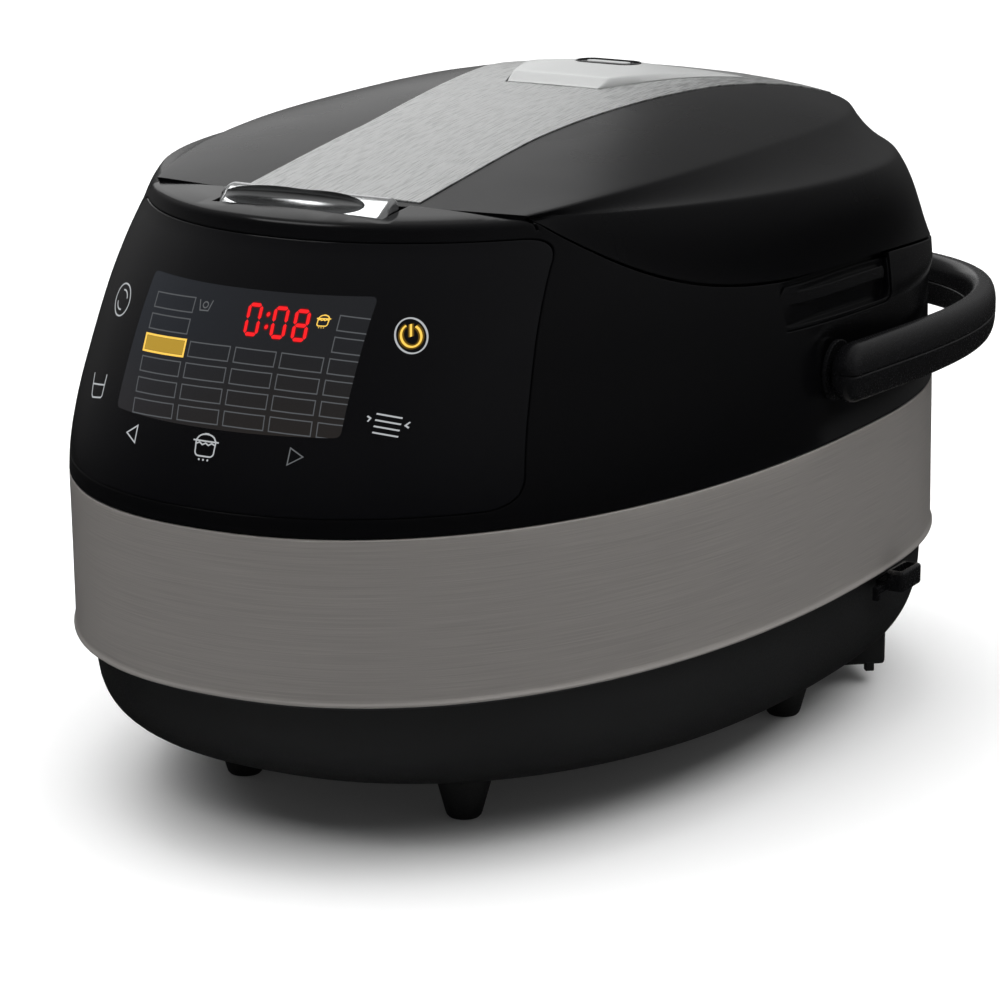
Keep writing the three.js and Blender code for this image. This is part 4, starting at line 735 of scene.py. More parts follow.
LEAN = (45.3, 1.8)  # how far the front has leaned back at the panel's top, and as what power
DECK_SETBACK = 47
SHOULDER = 13
FRONT_EASING = 0.13
PANEL_TOP = 212
DECK_EDGE = 217
DECK_ROUNDING = 1.2
DECK_RISE = 11
DECK_LIFT = 0.6
SHELL_WALL = 3
SHELF_TOP = 171
SHELF_THICKNESS = 3
SCOOP = {"depth": 2.2, "low": 128, "high": 166, "blend": 6, "start": -6, "run": 22}
SEAM = {"side": 183, "climb": 35, "run": 33, "fall": 20, "fall_start": 23}
FRONT_SEAM = 121.8
FRONT_BOW = 9.8
CORNER_REACH = 78
SEAM_GAP = 1.0
RUNNING = 0.6  # gap round what moves
BEYOND = 420
PLUG_REAR = 158
plug_outline = section(122, 177, rear_reach - 5)


def smooth(value):
    """Eases a share in and out."""
    t = np.clip(value, 0, 1)
    return t * t * (3 - 2 * t)


def shell_section(z):
    """The casing's outline at a height: its front leans back and its sides draw in."""
    above = max(z - band_high, 0)
    share = above / (DECK_EDGE - band_high)
    lean = min(LEAN[0] * (above / (PANEL_TOP - band_high)) ** LEAN[1], DECK_SETBACK)
    fullness = (FULLNESS[0] - FRONT_EASING * float(smooth(share * 1.8)), FULLNESS[1])
    return section(half_width - SHOULDER * share**3, front_reach - lean, rear_reach, fullness)


def scoop_at(angle, z):
    """Depth of the shallow bay that the handle's arm lies in."""
    y = widest - half_width * np.cos(angle)
    along = smooth((y - SCOOP["start"]) / SCOOP["run"])
    rise = smooth((z - SCOOP["low"] + SCOOP["blend"]) / SCOOP["blend"])
    fall = smooth((SCOOP["high"] - z) / SCOOP["blend"])
    return SCOOP["depth"] * along * rise * fall


def arc_rings(before, corner, after, steps=5):
    """Rings that round a crease: a curve from one ring to another, pulled towards the corner."""
    shares = np.linspace(0, 1, steps)
    return [(1 - t) ** 2 * before + 2 * t * (1 - t) * corner + t**2 * after for t in shares]


def arc_points(before, corner, after, steps):
    """The same curve from three points, as points."""
    before, corner, after = np.array(before), np.array(corner), np.array(after)
    return [tuple(point) for point in arc_rings(before, corner, after, steps)]


def shell_block(inset, from_z):
    """The casing's outside as a solid with a domed top, drawn in by inset."""
    rings = []
    for z in [*np.linspace(from_z, DECK_EDGE - DECK_ROUNDING, 24), DECK_EDGE]:
        reach = reach_at(angles, shell_section(z), inset) - scoop_at(angles, z)
        rings.append(at_reach(angles, reach, min(z, DECK_EDGE - inset / 2)))
    edge = shell_section(DECK_EDGE)

    def crown(share):
        z = DECK_EDGE - inset + DECK_RISE * (1 - share**2) + DECK_LIFT
        return at_reach(angles, share * reach_at(angles, edge, inset), z)

    rounded = arc_rings(rings[-2], rings[-1], crown(0.985))
    deck = [crown(share) for share in (0.93, 0.85, 0.7, 0.5)]
    return loft("shell_block", rings[:-2] + rounded + deck)


def seam_height(y):
    """Height of the seam under the lid: it climbs to the front and falls to the rear."""
    climb = SEAM["climb"] * np.exp(-(y + FRONT_SEAM - FRONT_BOW) / SEAM["run"])
    rear_share = np.maximum(y - SEAM["fall_start"], 0) / (body_length / 2 - SEAM["fall_start"])
    return SEAM["side"] + climb - SEAM["fall"] * rear_share**2


def prism(points):
    """A closed bar between two matching outlines, given as one list of points."""
    count = len(points) // 2
    faces = [tuple(range(count)), tuple(range(2 * count - 1, count - 1, -1))]
    faces += [(i, count + i, count + (i + 1) % count, (i + 1) % count) for i in range(count)]
    return outward(new_piece("prism", points, faces))


def side_prism(outline, x0, x1):
    """An outline of (y, z) points, extruded along X."""
    return prism([(x, y, z) for x in (x0, x1) for y, z in outline])


def plan_prism(outline, z0, z1):
    """An outline of (x, y) points, extruded upwards."""
    return prism([(x, y, z) for z in (z0, z1) for x, y in outline])


def above_seam(lift):
    """All that lies above the seam."""
    start = -(FRONT_SEAM - FRONT_BOW)
    ys = start + (body_length * 0.6 - start) * np.linspace(0, 1, 90) ** 1.3
    line = [(y, seam_height(y) + lift) for y in ys]
    return side_prism(line + [(ys[-1], BEYOND), (start, BEYOND)], -BEYOND, BEYOND)


def behind_front_seam(offset, z0=0):
    """All that lies behind the lid's bowed front edge."""
    xs = np.linspace(CORNER_REACH, -CORNER_REACH, 49)
    edge = [(x, -FRONT_SEAM + FRONT_BOW * (x / CORNER_REACH) ** 2 + offset) for x in xs]
    corner = -FRONT_SEAM + FRONT_BOW + offset
    outline = [(BEYOND, corner)] + edge + [(-BEYOND, corner), (-BEYOND, BEYOND), (BEYOND, BEYOND)]
    return plan_prism(outline, z0, BEYOND)


def plug_prism(gap, z0, z1):
    """The room inside the rim that the lid's liner plugs."""
    return plan_prism(ring(plug_outline, -gap, 0)[:, :2].tolist(), z0, z1)


def bar(axis, radius, low, high, centre, sides=64):
    """A round bar along x or z between two stations."""
    turn = np.linspace(0, 2 * pi, sides, endpoint=False)
    rings = []
    for station in (low, high):
        u, v = centre[0] + radius * np.cos(turn), centre[1] + radius * np.sin(turn)
        along = np.full(sides, station)
        rings.append(np.stack([along, u, v] if axis == "x" else [u, v, along], axis=1))
    return outward(loft("bar", rings))


def shell_room(gap):
    """The hollow inside the casing: all under its shelf, and its nose ahead of the lid."""
    inside = shell_block(SHELL_WALL + gap, band_high - 20)
    below = block((-BEYOND, -BEYOND, 0), (BEYOND, BEYOND, SHELF_TOP - SHELF_THICKNESS - gap))
    ahead = block((-BEYOND, -BEYOND, 0), (BEYOND, 60, BEYOND))
    return common(inside, joined(below, cut(ahead, behind_front_seam(-SHELL_WALL - gap))))


LID_FRONT_HEIGHT = 220.4
LID_WALL = 3


def front_edge_zone(offset, deeper):
    """The strip between the lid's bowed front edge and the straight line through its corners."""
    corner = -FRONT_SEAM + FRONT_BOW + deeper
    return cut(
        behind_front_seam(offset, LID_FRONT_HEIGHT - LID_WALL - 2 - deeper),
        block((-BEYOND, corner, 0), (BEYOND, BEYOND, BEYOND + 1)),
    )


BUTTON = {"half": 33.7, "front": 137.6, "rear": 124.6, "floor": 208}
HOOK = {"half": 6, "reach": 3, "low": 198, "thickness": 4, "swing": 4}
LATCH_POCKET = {"half": 13, "reach": 9, "low": 190, "high": 206, "front": 128.8}


def button_well(wall, floor_z):
    """The button's pocket in the deck, or its walls from outside."""
    half = BUTTON["half"] + RUNNING + wall
    return block(
        (-half, -BUTTON["front"] - RUNNING - wall, floor_z),
        (half, -FRONT_SEAM + FRONT_BOW, 240),
    )


RECESS = {"y": (-20, 66), "below": 18, "depth": 6, "wall": 1.4, "chamfer": 4}


def recess_outline(inset):
    """The side recess as (y, z) points: open at the top, with two rounded lower corners."""
    start, end = RECESS["y"][0] + inset, RECESS["y"][1] - inset
    top = SEAM["side"] + 8
    line = [(start, top)]
    for y, inwards in ((start, 1), (end, -1)):
        bottom = seam_height(y) - RECESS["below"] + inset
        along = (y + inwards * RECESS["chamfer"], bottom)
        curve = arc_points((y, bottom + RECESS["chamfer"]), (y, bottom), along, 7)
        line += curve[::inwards]
    return line + [(end, top)]


def recess_block():
    return side_prism(recess_outline(0), half_width - RECESS["depth"] - RECESS["wall"], 140)


def on_side(piece, side):
    """Keeps a piece on the right (1), or mirrors it to the left (-1)."""
    piece.data.transform(Matrix.Scale(side, 4, (1, 0, 0)))
    return outward(piece)


PANEL = {
    "top_half": 85,
    "bottom_half": 92,
    "low": 128.3,
    "high": PANEL_TOP,
    "corner": 9,
    "thickness": 1.6,
}


def panel_outline(extra):
    """The panel's outline seen from the front, as (x, z) points."""
    top, bottom = PANEL["top_half"] + extra, PANEL["bottom_half"] + extra
    low, high = PANEL["low"] - extra, PANEL["high"] + extra
    r = PANEL["corner"]
    corners = [
        ((bottom - r, low), (bottom, low), (bottom, low + r)),
        ((top, high - r), (top, high), (top - r, high)),
        ((-top + r, high), (-top, high), (-top, high - r)),
        ((-bottom, low + r), (-bottom, low), (-bottom + r, low)),
    ]
    return [point for corner in corners for point in arc_points(*corner, 9)]


THROUGH_FRONT = (-260, -60)


def front_prism(outline):
    """An outline of (x, z) points, extruded through the front wall."""
    return prism([(x, y, z) for y in THROUGH_FRONT for x, z in outline])


HINGE = {"y": 180.6, "z": 174.5, "notch_half": 78, "bay_half": 31, "bay_low": 151}


def hinge_room():
    """Room for the lid's rear edge as it swings down round the pin, and for the hinge's bay."""
    y, z = HINGE["y"], HINGE["z"]
    edge_z = seam_height(body_length / 2) - z
    outline = shell_section(edge_z + z)
    turn = np.linspace(0, 2 * pi, 64, endpoint=False)
    rings = []
    for x in np.linspace(-HINGE["notch_half"], HINGE["notch_half"], 25):
        share = (1 - (abs(x) / outline["half"]) ** FULLNESS[1]) ** (1 / FULLNESS[1])
        radius = np.hypot(widest + outline["rear"] * share - y, edge_z) + SEAM_GAP
        round_y, round_z = y + radius * np.cos(turn), z + radius * np.sin(turn)
        rings.append(np.stack([np.full(len(turn), x), round_y, round_z], axis=1))
    bay = block(
        (-HINGE["bay_half"], PLUG_REAR + 2.5, HINGE["bay_low"]), (HINGE["bay_half"], y + 4, z + 20)
    )
    return joined(outward(loft("barrel", rings)), bay)


PIVOT_RADIUS = 5
PIVOT = (16.6, 147.5)  # y and z of the handle's joint
lid_room = joined(
    above_seam(0),
    common(behind_front_seam(0, SHELF_TOP), plug_prism(RUNNING, SHELF_TOP, BEYOND - 1)),
    front_edge_zone(0, SEAM_GAP),
)
well_walls = common(
    button_well(SHELL_WALL, BUTTON["floor"] - 3),
    cut(shell_block(0, band_high + 0.6), behind_front_seam(0)),
)
facing = cut(shell_block(-6, band_high), shell_block(PANEL["thickness"] + FIT, band_high - 1))
shell = cut(shell_block(0, band_high + 0.6), shell_room(0))
joined(shell, well_walls)
cut(
    shell,
    lid_room,
    bar("z", well_radius + 1.5, 100, 230, WIDEST_SPOT, 128),
    button_well(0, BUTTON["floor"]),
    block(
        (-HOOK["half"] - RUNNING, -BUTTON["rear"] - HOOK["thickness"] - HOOK["swing"], HOOK["low"]),
        (HOOK["half"] + RUNNING, -FRONT_SEAM + FRONT_BOW, BUTTON["floor"] + 4),
    ),
    block(
        (-LATCH_POCKET["half"], -LATCH_POCKET["front"], LATCH_POCKET["low"]),
        (LATCH_POCKET["half"], -FRONT_SEAM + FRONT_BOW, LATCH_POCKET["high"]),
    ),
    hinge_room(),
    bar("x", PIVOT_RADIUS + FIT, -150, 150, PIVOT),
    common(facing, front_prism(panel_outline(FIT))),
    recess_block(),
)
cut(shell, on_side(recess_block(), -1))
shell.name = "upper_casing"

gloss_black = finish("gloss_black", (0.0018, 0.0018, 0.0021), 0.14, specular=0.2)
gloss_haze = grain(gloss_black, 26, detail=4)
varied(gloss_black, gloss_haze, "Roughness", 0.11, 0.19)
relief(gloss_black, grain(gloss_black, 160, detail=1), 0.000006, edge=0.0007)
smooth_shaded(shell, 30)
dress(shell, gloss_black, "body", "black_gloss", "upper_shell")

# ------------------------------------------------------------------ control panel
# A polished black cover let into the leaning front. Its keys and display are printed and lit from
# behind; the prints are thin layers of ink that follow its face, with painted glow round the lamps.

panel = cut(shell_block(0, band_high), shell_block(PANEL["thickness"], band_high - 1))
common(panel, front_prism(panel_outline(0)))
panel.name = "panel_cover"
panel_black = finish("panel_black", (0.002, 0.002, 0.0025), 0.07, specular=0.35)
varied(panel_black, grain(panel_black, 22, detail=4), "Roughness", 0.055, 0.1)
relief(panel_black, grain(panel_black, 90, detail=1), 0.000004, edge=0.0007)
smooth_shaded(panel, 30)
dress(panel, panel_black, "body", "black_gloss", "control_panel")

# ------------------------------------------------------------------ display, its board and carrier
# The display and the key board are clipped to a moulded frame that hangs behind the leaning front.
# Their shapes are the CAD's own and only get their finish here.

repainted(inner_black, "panel_carrier")
repainted(board_green, "control_board")
display_glass = finish("display_glass", (0.01, 0.011, 0.013), 0.16, specular=0.5)
varied(display_glass, grain(display_glass, 50), "Roughness", 0.12, 0.22)
relief(display_glass, grain(display_glass, 90, detail=1), 0.000004, edge=0.0003)
repainted(display_glass, "display_module")

# ------------------------------------------------------------------ display window and prints
# Behind the cover's smoked window lies the display. Its keys and digits shine through; the icons
# round it are printed on the cover and lit from behind. Each print is a thin layer on the cover.
# The window's tinted glow and the hazes round the digits and the power key are painted glow.

INK_BASE = -0.03
# The haze layer is painted glow round the lit digits and the power key.
INK_AND_GLOW_HEIGHTS = {"window": 0.03, "haze": 0.045, "fill": 0.05, "line": 0.06, "rim": 0.07}


def lit(name, colour, strength):
    """Ink or a lamp behind the cover, or a painted glow round a lamp: it shines a little, and
    mirrors as the cover does.
    """
    material = finish(name, tuple(0.1 * part for part in colour), 0.12, specular=0.35)
    shader_of(material).inputs["Emission Color"].default_value = (*colour, 1)
    shader_of(material).inputs["Emission Strength"].default_value = strength
    varied(material, grain(material, 60, detail=3), "Roughness", 0.09, 0.15)
    return material


def printed(piece, name, layer, material):
    """Keeps the piece only where it lies on the cover, as a thin layer of that layer's height: ink,
    the window, or painted glow for a haze.
    """
    outside = shell_block(-INK_AND_GLOW_HEIGHTS[layer], band_high)
    common(piece, cut(outside, shell_block(-INK_BASE, band_high)))
    piece.name = name
    smooth_shaded(piece, 30)
    dress(piece, material, "body", "display")
    return piece


def rounded_outline(corners, radius):
    """An outline through corners, each rounded."""
    line = []
    count = len(corners)
    for i in range(count):
        corner = np.array(corners[i], float)
        ends = [np.array(corners[j], float) - corner for j in (i - 1, (i + 1) % count)]
        before, after = (corner + end / np.linalg.norm(end) * radius for end in ends)
        line += arc_points(before, corner, after, 6)
    return line


WINDOW = [(-44.5, 154), (44.9, 154), (44.3, 196.6), (-45.4, 196.6)]
window_outline = rounded_outline(WINDOW, 2)
smoked = finish("smoked_window", (0.004, 0.0042, 0.005), 0.07, specular=0.35)
smoked_nodes, smoked_links = smoked.node_tree.nodes, smoked.node_tree.links
smoked_shader = shader_of(smoked)
window_place = smoked_nodes.new("ShaderNodeTexCoord")
window_split = smoked_nodes.new("ShaderNodeSeparateXYZ")
smoked_links.new(window_place.outputs["Object"], window_split.inputs["Vector"])
# The window's faint glow is painted light: bluish towards the left and warm towards the bottom.
painted_glow_tints = []
for axis, ends, colours in (
    ("X", (-0.045, 0.02), ((0.013, 0.017, 0.024), (0.0105, 0.011, 0.012))),
    ("Z", (0.154, 0.182), ((0.020, 0.0145, 0.0095), (0.0115, 0.012, 0.0135))),
):
    ramp = smoked_nodes.new("ShaderNodeValToRGB")
    for element, colour in zip(ramp.color_ramp.elements, colours):
        element.color = (*colour, 1)
    across = spread(smoked.node_tree, window_split.outputs[axis], ends)
    smoked_links.new(across, ramp.inputs["Fac"])
    painted_glow_tints.append(ramp.outputs["Color"])
painted_glow_mix = smoked_nodes.new("ShaderNodeMix")
painted_glow_mix.data_type = "RGBA"
painted_glow_mix.inputs["Factor"].default_value = 0.5
smoked_links.new(painted_glow_tints[0], painted_glow_mix.inputs["A"])
smoked_links.new(painted_glow_tints[1], painted_glow_mix.inputs["B"])
smoked_links.new(painted_glow_mix.outputs["Result"], smoked_shader.inputs["Emission Color"])
smoked_shader.inputs["Emission Strength"].default_value = 1.0
varied(smoked, grain(smoked, 22, detail=4), "Roughness", 0.055, 0.1)
printed(front_prism(window_outline), "display_window", "window", smoked)


def ribbon(points, width, closed):
    """A line of this width as a bar through the front wall, from (x, z) points."""
    points = np.asarray(points, float)
    count = len(points)
    rings = []
    for i in range(count):
        here = points[i]
        before = points[i - 1] if closed or i else here
        after = points[(i + 1) % count] if closed or i < count - 1 else here
        sides = []
        for start, end in ((before, here), (here, after)):
            length = np.linalg.norm(end - start)
            if length > 1e-9:
                sides.append(np.array([start[1] - end[1], end[0] - start[0]]) / length)
        across = sum(sides) / len(sides)
        across = across / np.dot(across, across) * width / 2
        left, right = here + across, here - across
        ahead, behind = THROUGH_FRONT
        corners = ((left, ahead), (right, ahead), (right, behind), (left, behind))
        rings.append(np.array([(x, y, z) for (x, z), y in corners]))
    return outward(loft("ribbon", rings, joined=closed))


def drawn(strokes, width):
    """Several lines as one solid; a stroke is its points, and whether it closes."""
    first, *others = [ribbon(points, width, closed) for points, closed in strokes]
    return joined(first, *others) if others else first


def arc(centre, radii, start, end, steps):
    turn = np.radians(np.linspace(start, end, steps))
    return [(centre[0] + radii[0] * cos(t), centre[1] + radii[1] * sin(t)) for t in turn]


def oval(centre, radii, steps):
    return arc(centre, radii, 0, 360, steps + 1)[:-1]


COLUMN = 17.9
ROW = 6.45
GRID_START = (2.6, 179.5)
KEY = (16.1, 4.8)
KEY_LINE = 0.36


def on_window(across, up):
    """Where a point of the display's even grid shows on the curved, raked cover."""
    column, row = across / COLUMN, -up / ROW
    bend = -0.95 * column**2 + 0.14 * column**3
    x = GRID_START[0] + COLUMN * column + bend + row * (0.65 - 0.08 * column)
    return x, GRID_START[1] - 0.33 * column**2 - ROW * row


def onto_window(piece):
    """Bends a piece drawn on the even grid to the window."""
    for vertex in piece.data.vertices:
        x, z = on_window(vertex.co.x / MM, vertex.co.z / MM)
        vertex.co.x, vertex.co.z = x * MM, z * MM
    return piece


def key_outline(inset):
    right, low = KEY[0] - inset, inset - KEY[1]
    return [(inset, -inset), (right, -inset), (right, low), (inset, low)]


key_pattern = centred(ribbon(key_outline(KEY_LINE / 2), KEY_LINE, closed=True))
key_spots = [
    (column * COLUMN, 0, -row * ROW)
    for row in range(-2, 4)
    for column in range(-2, 3)
    if (row >= 0 or abs(column) == 2) and (column, row) != (-2, 0)
]
grey_line = lit("key_lines", (0.085, 0.09, 0.096), 1)
keys = outward(onto_window(copies_at("programme_keys", key_pattern, key_spots, grey_line)))
printed(common(keys, front_prism(window_outline)), "programme_keys", "line", grey_line)

amber = lit("amber_lamp", (1.0, 0.62, 0.10), 1.0)
amber_dim = lit("amber_key", (0.42, 0.26, 0.03), 1.0)
CHOSEN_RIM = 0.62
chosen_fill, chosen_rim = (
    [(x - 2 * COLUMN, z) for x, z in key_outline(inset)] for inset in (0.3, -0.1)
)
printed(onto_window(front_prism(chosen_fill)), "chosen_key", "fill", amber_dim)
chosen_frame = ribbon(chosen_rim, CHOSEN_RIM, closed=True)
printed(onto_window(chosen_frame), "chosen_key_rim", "rim", amber)

RED_DIGITS = [
    ("0", (3.8, 183.0), (9.3, 183.0), (8.0, 192.9), (2.3, 192.9)),
    ("0", (13.7, 182.9), (19.1, 182.9), (17.8, 192.6), (12.2, 192.6)),
    ("8", (21.3, 182.6), (26.5, 182.5), (25.3, 192.1), (19.9, 192.3)),
]
SEGMENTS = {
    "a": ((0, 1), (1, 1)), "b": ((1, 1), (1, 0.5)), "c": ((1, 0.5), (1, 0)), "d": ((1, 0), (0, 0)),
    "e": ((0, 0), (0, 0.5)), "f": ((0, 0.5), (0, 1)), "g": ((0, 0.5), (1, 0.5)),
}
LIT_SEGMENTS = {"0": "abcdef", "8": "abcdefg"}
COLON = [(10.8, 189.9), (11.5, 186.2)]
COLON_SHARE = 0.62
DIGIT = (5.6, 9.8)
DIGIT_INSET = 0.6
SEGMENT_END = 0.16


def in_digit(box, across, up):
    """A point inside a leaning digit's box, from shares of its width and its height."""
    low_left, low_right, high_right, high_left = (np.array(corner) for corner in box)
    s, t = (
        DIGIT_INSET / size + share * (1 - 2 * DIGIT_INSET / size)
        for share, size in zip((across, up), DIGIT)
    )
    low, high = low_left * (1 - s) + low_right * s, high_left * (1 - s) + high_right * s
    return low * (1 - t) + high * t


def digit_bars(width):
    """The lit segments of the time, each a six-sided bar, and the colon's two dots."""
    bars = []
    for figure, *box in RED_DIGITS:
        for segment in LIT_SEGMENTS[figure]:
            start, end = (in_digit(box, *corner) for corner in SEGMENTS[segment])
            along = (end - start) / np.linalg.norm(end - start)
            side = np.array([-along[1], along[0]]) * width / 2
            tip, heel = start + along * SEGMENT_END, end - along * SEGMENT_END
            shoulder, waist = tip + along * width / 2, heel - along * width / 2
            bar_corners = (tip, shoulder + side, waist + side, heel, waist - side, shoulder - side)
            bars.append([tuple(corner) for corner in bar_corners])
    dot = (width * COLON_SHARE, width * COLON_SHARE)
    return bars + [oval(centre, dot, 12) for centre in COLON]


red_lamp = lit("red_lamp", (1.0, 0.016, 0.02), 0.95)
# The red haze is painted glow round the lit digits.
red_haze = lit("red_haze", (0.13, 0.003, 0.004), 1.0)
for name, width, layer, material in (
    ("time_haze", 1.75, "haze", red_haze),
    ("time_digits", 1.1, "line", red_lamp),
):
    first, *others = [front_prism(outline) for outline in digit_bars(width)]
    printed(joined(first, *others), name, layer, material)


def pot(centre, size):
    """A small cooking pot: lid, rim with two ears, body, and three dots of steam below."""
    x, z = centre

    def at(points):
        return [(x + px * size, z + pz * size) for px, pz in points]

    body = [(-3.9, 1.2), (-3.7, -1.6)] + arc((-2.2, -2.2), (1.5, 1.4), 180, 270, 7)
    body += arc((2.2, -2.2), (1.5, 1.4), 270, 360, 7) + [(3.7, -1.6), (3.9, 1.2)]
    waves = [(-3.7, 0.2), (-2.4, 0.7), (-1.2, 0.0), (0, 0.6), (1.2, 0.0), (2.4, 0.7), (3.7, 0.2)]
    lid_line = [(-3.9, 1.3)] + arc((0, 1.5), (3.5, 1.9), 170, 10, 14) + [(3.9, 1.3)]
    strokes = [(at(body), False), (at(waves), False), (at(lid_line), False)]
    strokes += [(at([(-5, 1.2), (5, 1.2)]), False), (at([(-0.8, 3.5), (0.8, 3.5)]), False)]
    dots = [oval(at([(px, -4.7)])[0], (0.35 * size, 0.35 * size), 10) for px in (-1.7, 0, 1.7)]
    return strokes, dots


def icon(strokes, dots, width):
    """Lines and dots as one solid."""
    solid = drawn(strokes, width)
    return joined(solid, *[front_prism(dot) for dot in dots]) if dots else solid


amber_pot = icon(*pot((30.1, 189.2), 0.46), 0.34)
POWER = (57.1, 184.9)
CORNER_LEAN = np.array([(0.75, -0.06), (-0.26, 0.9)])


def round_on_corner(points):
    """Points about the power key, leaned to look round where the cover turns and rakes."""
    return [tuple(POWER + np.array(point) @ CORNER_LEAN) for point in points]


power_lines = [
    (round_on_corner(arc((0, 0), (3.7, 3.7), 118, 422, 40)), False),
    (round_on_corner([(0, 3.9), (0, -0.3)]), False),
]
# The amber haze is painted glow round the power key's ring and line.
amber_haze = lit("amber_haze", (0.11, 0.06, 0.004), 1.0)
printed(drawn(power_lines, 1.5), "power_haze", "haze", amber_haze)
printed(joined(amber_pot, drawn(power_lines, 0.6)), "amber_icons", "line", amber)

HEAT = (-61.2, 184.2)
BAR_STEP = 1.9
glass = [(-66.9, 159.6), (-64.7, 153.2), (-63.6, 152.6)]
glass += [(-56.9, 154.1), (-56.1, 154.9), (-56.2, 161.6)]
white_strokes = [
    (round_on_corner(oval((0, 0), (5.9, 5.9), 64)), True),  # ring round the power key
    (oval(HEAT, (5.9, 4.9), 64), True),  # ring of the heat key, with its two arcs
    (arc(HEAT, (3.5, 3.0), 20, 110, 12), False),
    (arc(HEAT, (3.5, 3.0), 200, 290, 12), False),
    (glass, False),  # glass with the line of its level
    ([(-65.7, 156.4), (-56.2, 158.3)], False),
    ([(-35.8, 147.5), (-30.8, 150.6), (-31.0, 145.1)], True),  # left arrow
    ([(51.2, 160.8), (52.2, 160.1), (51.6, 159.1)], False),  # hooks beside a stack of bars
    ([(63.0, 158.6), (62.0, 157.6), (63.0, 156.8)], False),
]
for row in range(4):
    drop = BAR_STEP * row
    white_strokes.append(([(53.6, 161.5 - drop), (60.8, 159.9 - drop)], False))
ink_white = lit("white_ink", (0.42, 0.435, 0.45), 1)
pot_strokes, pot_dots = pot((0, 148.8), 1.0)
printed(icon(white_strokes + pot_strokes, pot_dots, 0.46), "white_icons", "line", ink_white)

ink_grey = lit("grey_ink", (0.11, 0.115, 0.12), 1)
small_glass = [(-17.8, 191.6), (-16.6, 188.5), (-13.0, 188.7), (-12.2, 191.9)]
grey_strokes = [
    ([(34.8, 147.9), (30.4, 150.5), (30.2, 145.2)], True),  # right arrow
    (small_glass, False),
    (oval((-14.8, 190.3), (1.1, 0.9), 16), True),
]
printed(icon(grey_strokes, [], KEY_LINE), "grey_icons", "line", ink_grey)

# ------------------------------------------------------------------ lid cover
# A polished black shell: side walls that rise from the seam, a hollowed band above the outer crease
# and a raised, domed top. Its front edge bows back across the deck.

LID_PEAK = 239.5
LID_PEAK_Y = 110
RIDGE = section(126, 176, 136, (2.05, 2.2))  # the outer crease, where the side wall ends
RIDGE_HEIGHT = 216
RIDGE_FALL = 0.025
FACET = section(100, 208, 131)  # the inner crease, where the dome starts
CREASE = {"top": 226, "y": 40, "front_fall": 0.000288, "rear_fall": 0.00005}
DOME_POWER = 2.8
WALL_BULGE = 2.2
BULGE_FADE = 30  # where the side wall is lower than this it bulges less
HOLLOW_SAG = 1.6
LID_SKIRT = 30
lid_front_drop = LID_PEAK - LID_FRONT_HEIGHT
lid_front_run = FRONT_SEAM + LID_PEAK_Y


def crown_height(y):
    """Height of the dome along its middle."""
    return LID_PEAK - lid_front_drop * ((y - LID_PEAK_Y) / lid_front_run) ** 2


def crease_height(y):
    fall = np.where(y < CREASE["y"], CREASE["front_fall"], CREASE["rear_fall"])
    return CREASE["top"] - fall * (y - CREASE["y"]) ** 2


def dome_height(x, y):
    angle = np.arctan2(x, widest - y)
    share = np.hypot(x, y - widest) / reach_at(angle, FACET)
    crease = crease_height(y)
    return crease + (crown_height(y) - crease) * (1 - np.minimum(share, 1) ** DOME_POWER)


SEAM_PASSES = 14  # the seam's height and its reach depend on each other


def seam_ring(inset):
    """The seam's ring on the casing's outside, found step by step."""
    z = np.full(STATIONS, float(SEAM["side"]))
    for _ in range(SEAM_PASSES):
        reach = np.array(
            [reach_at(angles[i : i + 1], shell_section(z[i]), inset)[0] for i in range(STATIONS)]
        )
        y = widest - reach * np.cos(angles)
        on_side_wall = np.minimum(seam_height(y), DECK_EDGE)
        goal = np.where(y < -(FRONT_SEAM - FRONT_BOW), DECK_EDGE, on_side_wall)
        z += (goal - z) * 0.6
    return at_reach(angles, reach, z)


def lid_block(drop):
    """The whole lid as a solid, reaching below the seam; drop lowers it and draws it in."""
    lower = np.array([0, 0, drop])
    seam = seam_ring(drop) - lower
    outer = at_reach(angles, reach_at(angles, RIDGE, drop), 0.0)
    outer[:, 2] = RIDGE_HEIGHT - RIDGE_FALL * outer[:, 1] - drop
    inner = at_reach(angles, reach_at(angles, FACET, drop), 0.0)
    inner[:, 2] = crease_height(inner[:, 1]) - drop
    outwards = np.stack([np.sin(angles), -np.cos(angles), np.zeros(STATIONS)], axis=1)
    tall = np.clip((outer[:, 2] - seam[:, 2]) / BULGE_FADE, 0, 1)[:, None]

    def wall(share):
        eased = share**1.6
        bulge = outwards * WALL_BULGE * 4 * eased * (1 - eased) * tall
        return seam + (outer - seam) * share + bulge

    def hollow(share):
        sag = np.array([0, 0, HOLLOW_SAG * 4 * share * (1 - share)])
        return outer + (inner - outer) * share - sag

    def dome(share):
        points = at_reach(angles, share * reach_at(angles, FACET), 0.0)
        points[:, 2] = dome_height(points[:, 0], points[:, 1]) - drop
        return points

    rings = [seam - np.array([0, 0, LID_SKIRT]), seam]
    rings += [wall(share) for share in np.linspace(0.08, 0.9, 12)]
    rings += arc_rings(wall(0.96), outer, hollow(0.1), 5)
    rings += [hollow(share) for share in (0.2, 0.35, 0.5, 0.65, 0.8)]
    rings += arc_rings(hollow(0.95), inner, dome(0.985), 4)
    rings += [dome(share) for share in (0.96, 0.92, 0.86, 0.78, 0.68, 0.56, 0.42, 0.28, 0.14)]
    return loft("lid_block", rings)


SOLID_CORNER = {"x": 56, "y": -97}  # the lid stays solid outside and ahead of here


def lid_corners(extra):
    x, y = SOLID_CORNER["x"] - extra, extra + SOLID_CORNER["y"]
    return [block((x, -200, 0), (200, y, 400)), block((-200, -200, 0), (-x, y, 400))]


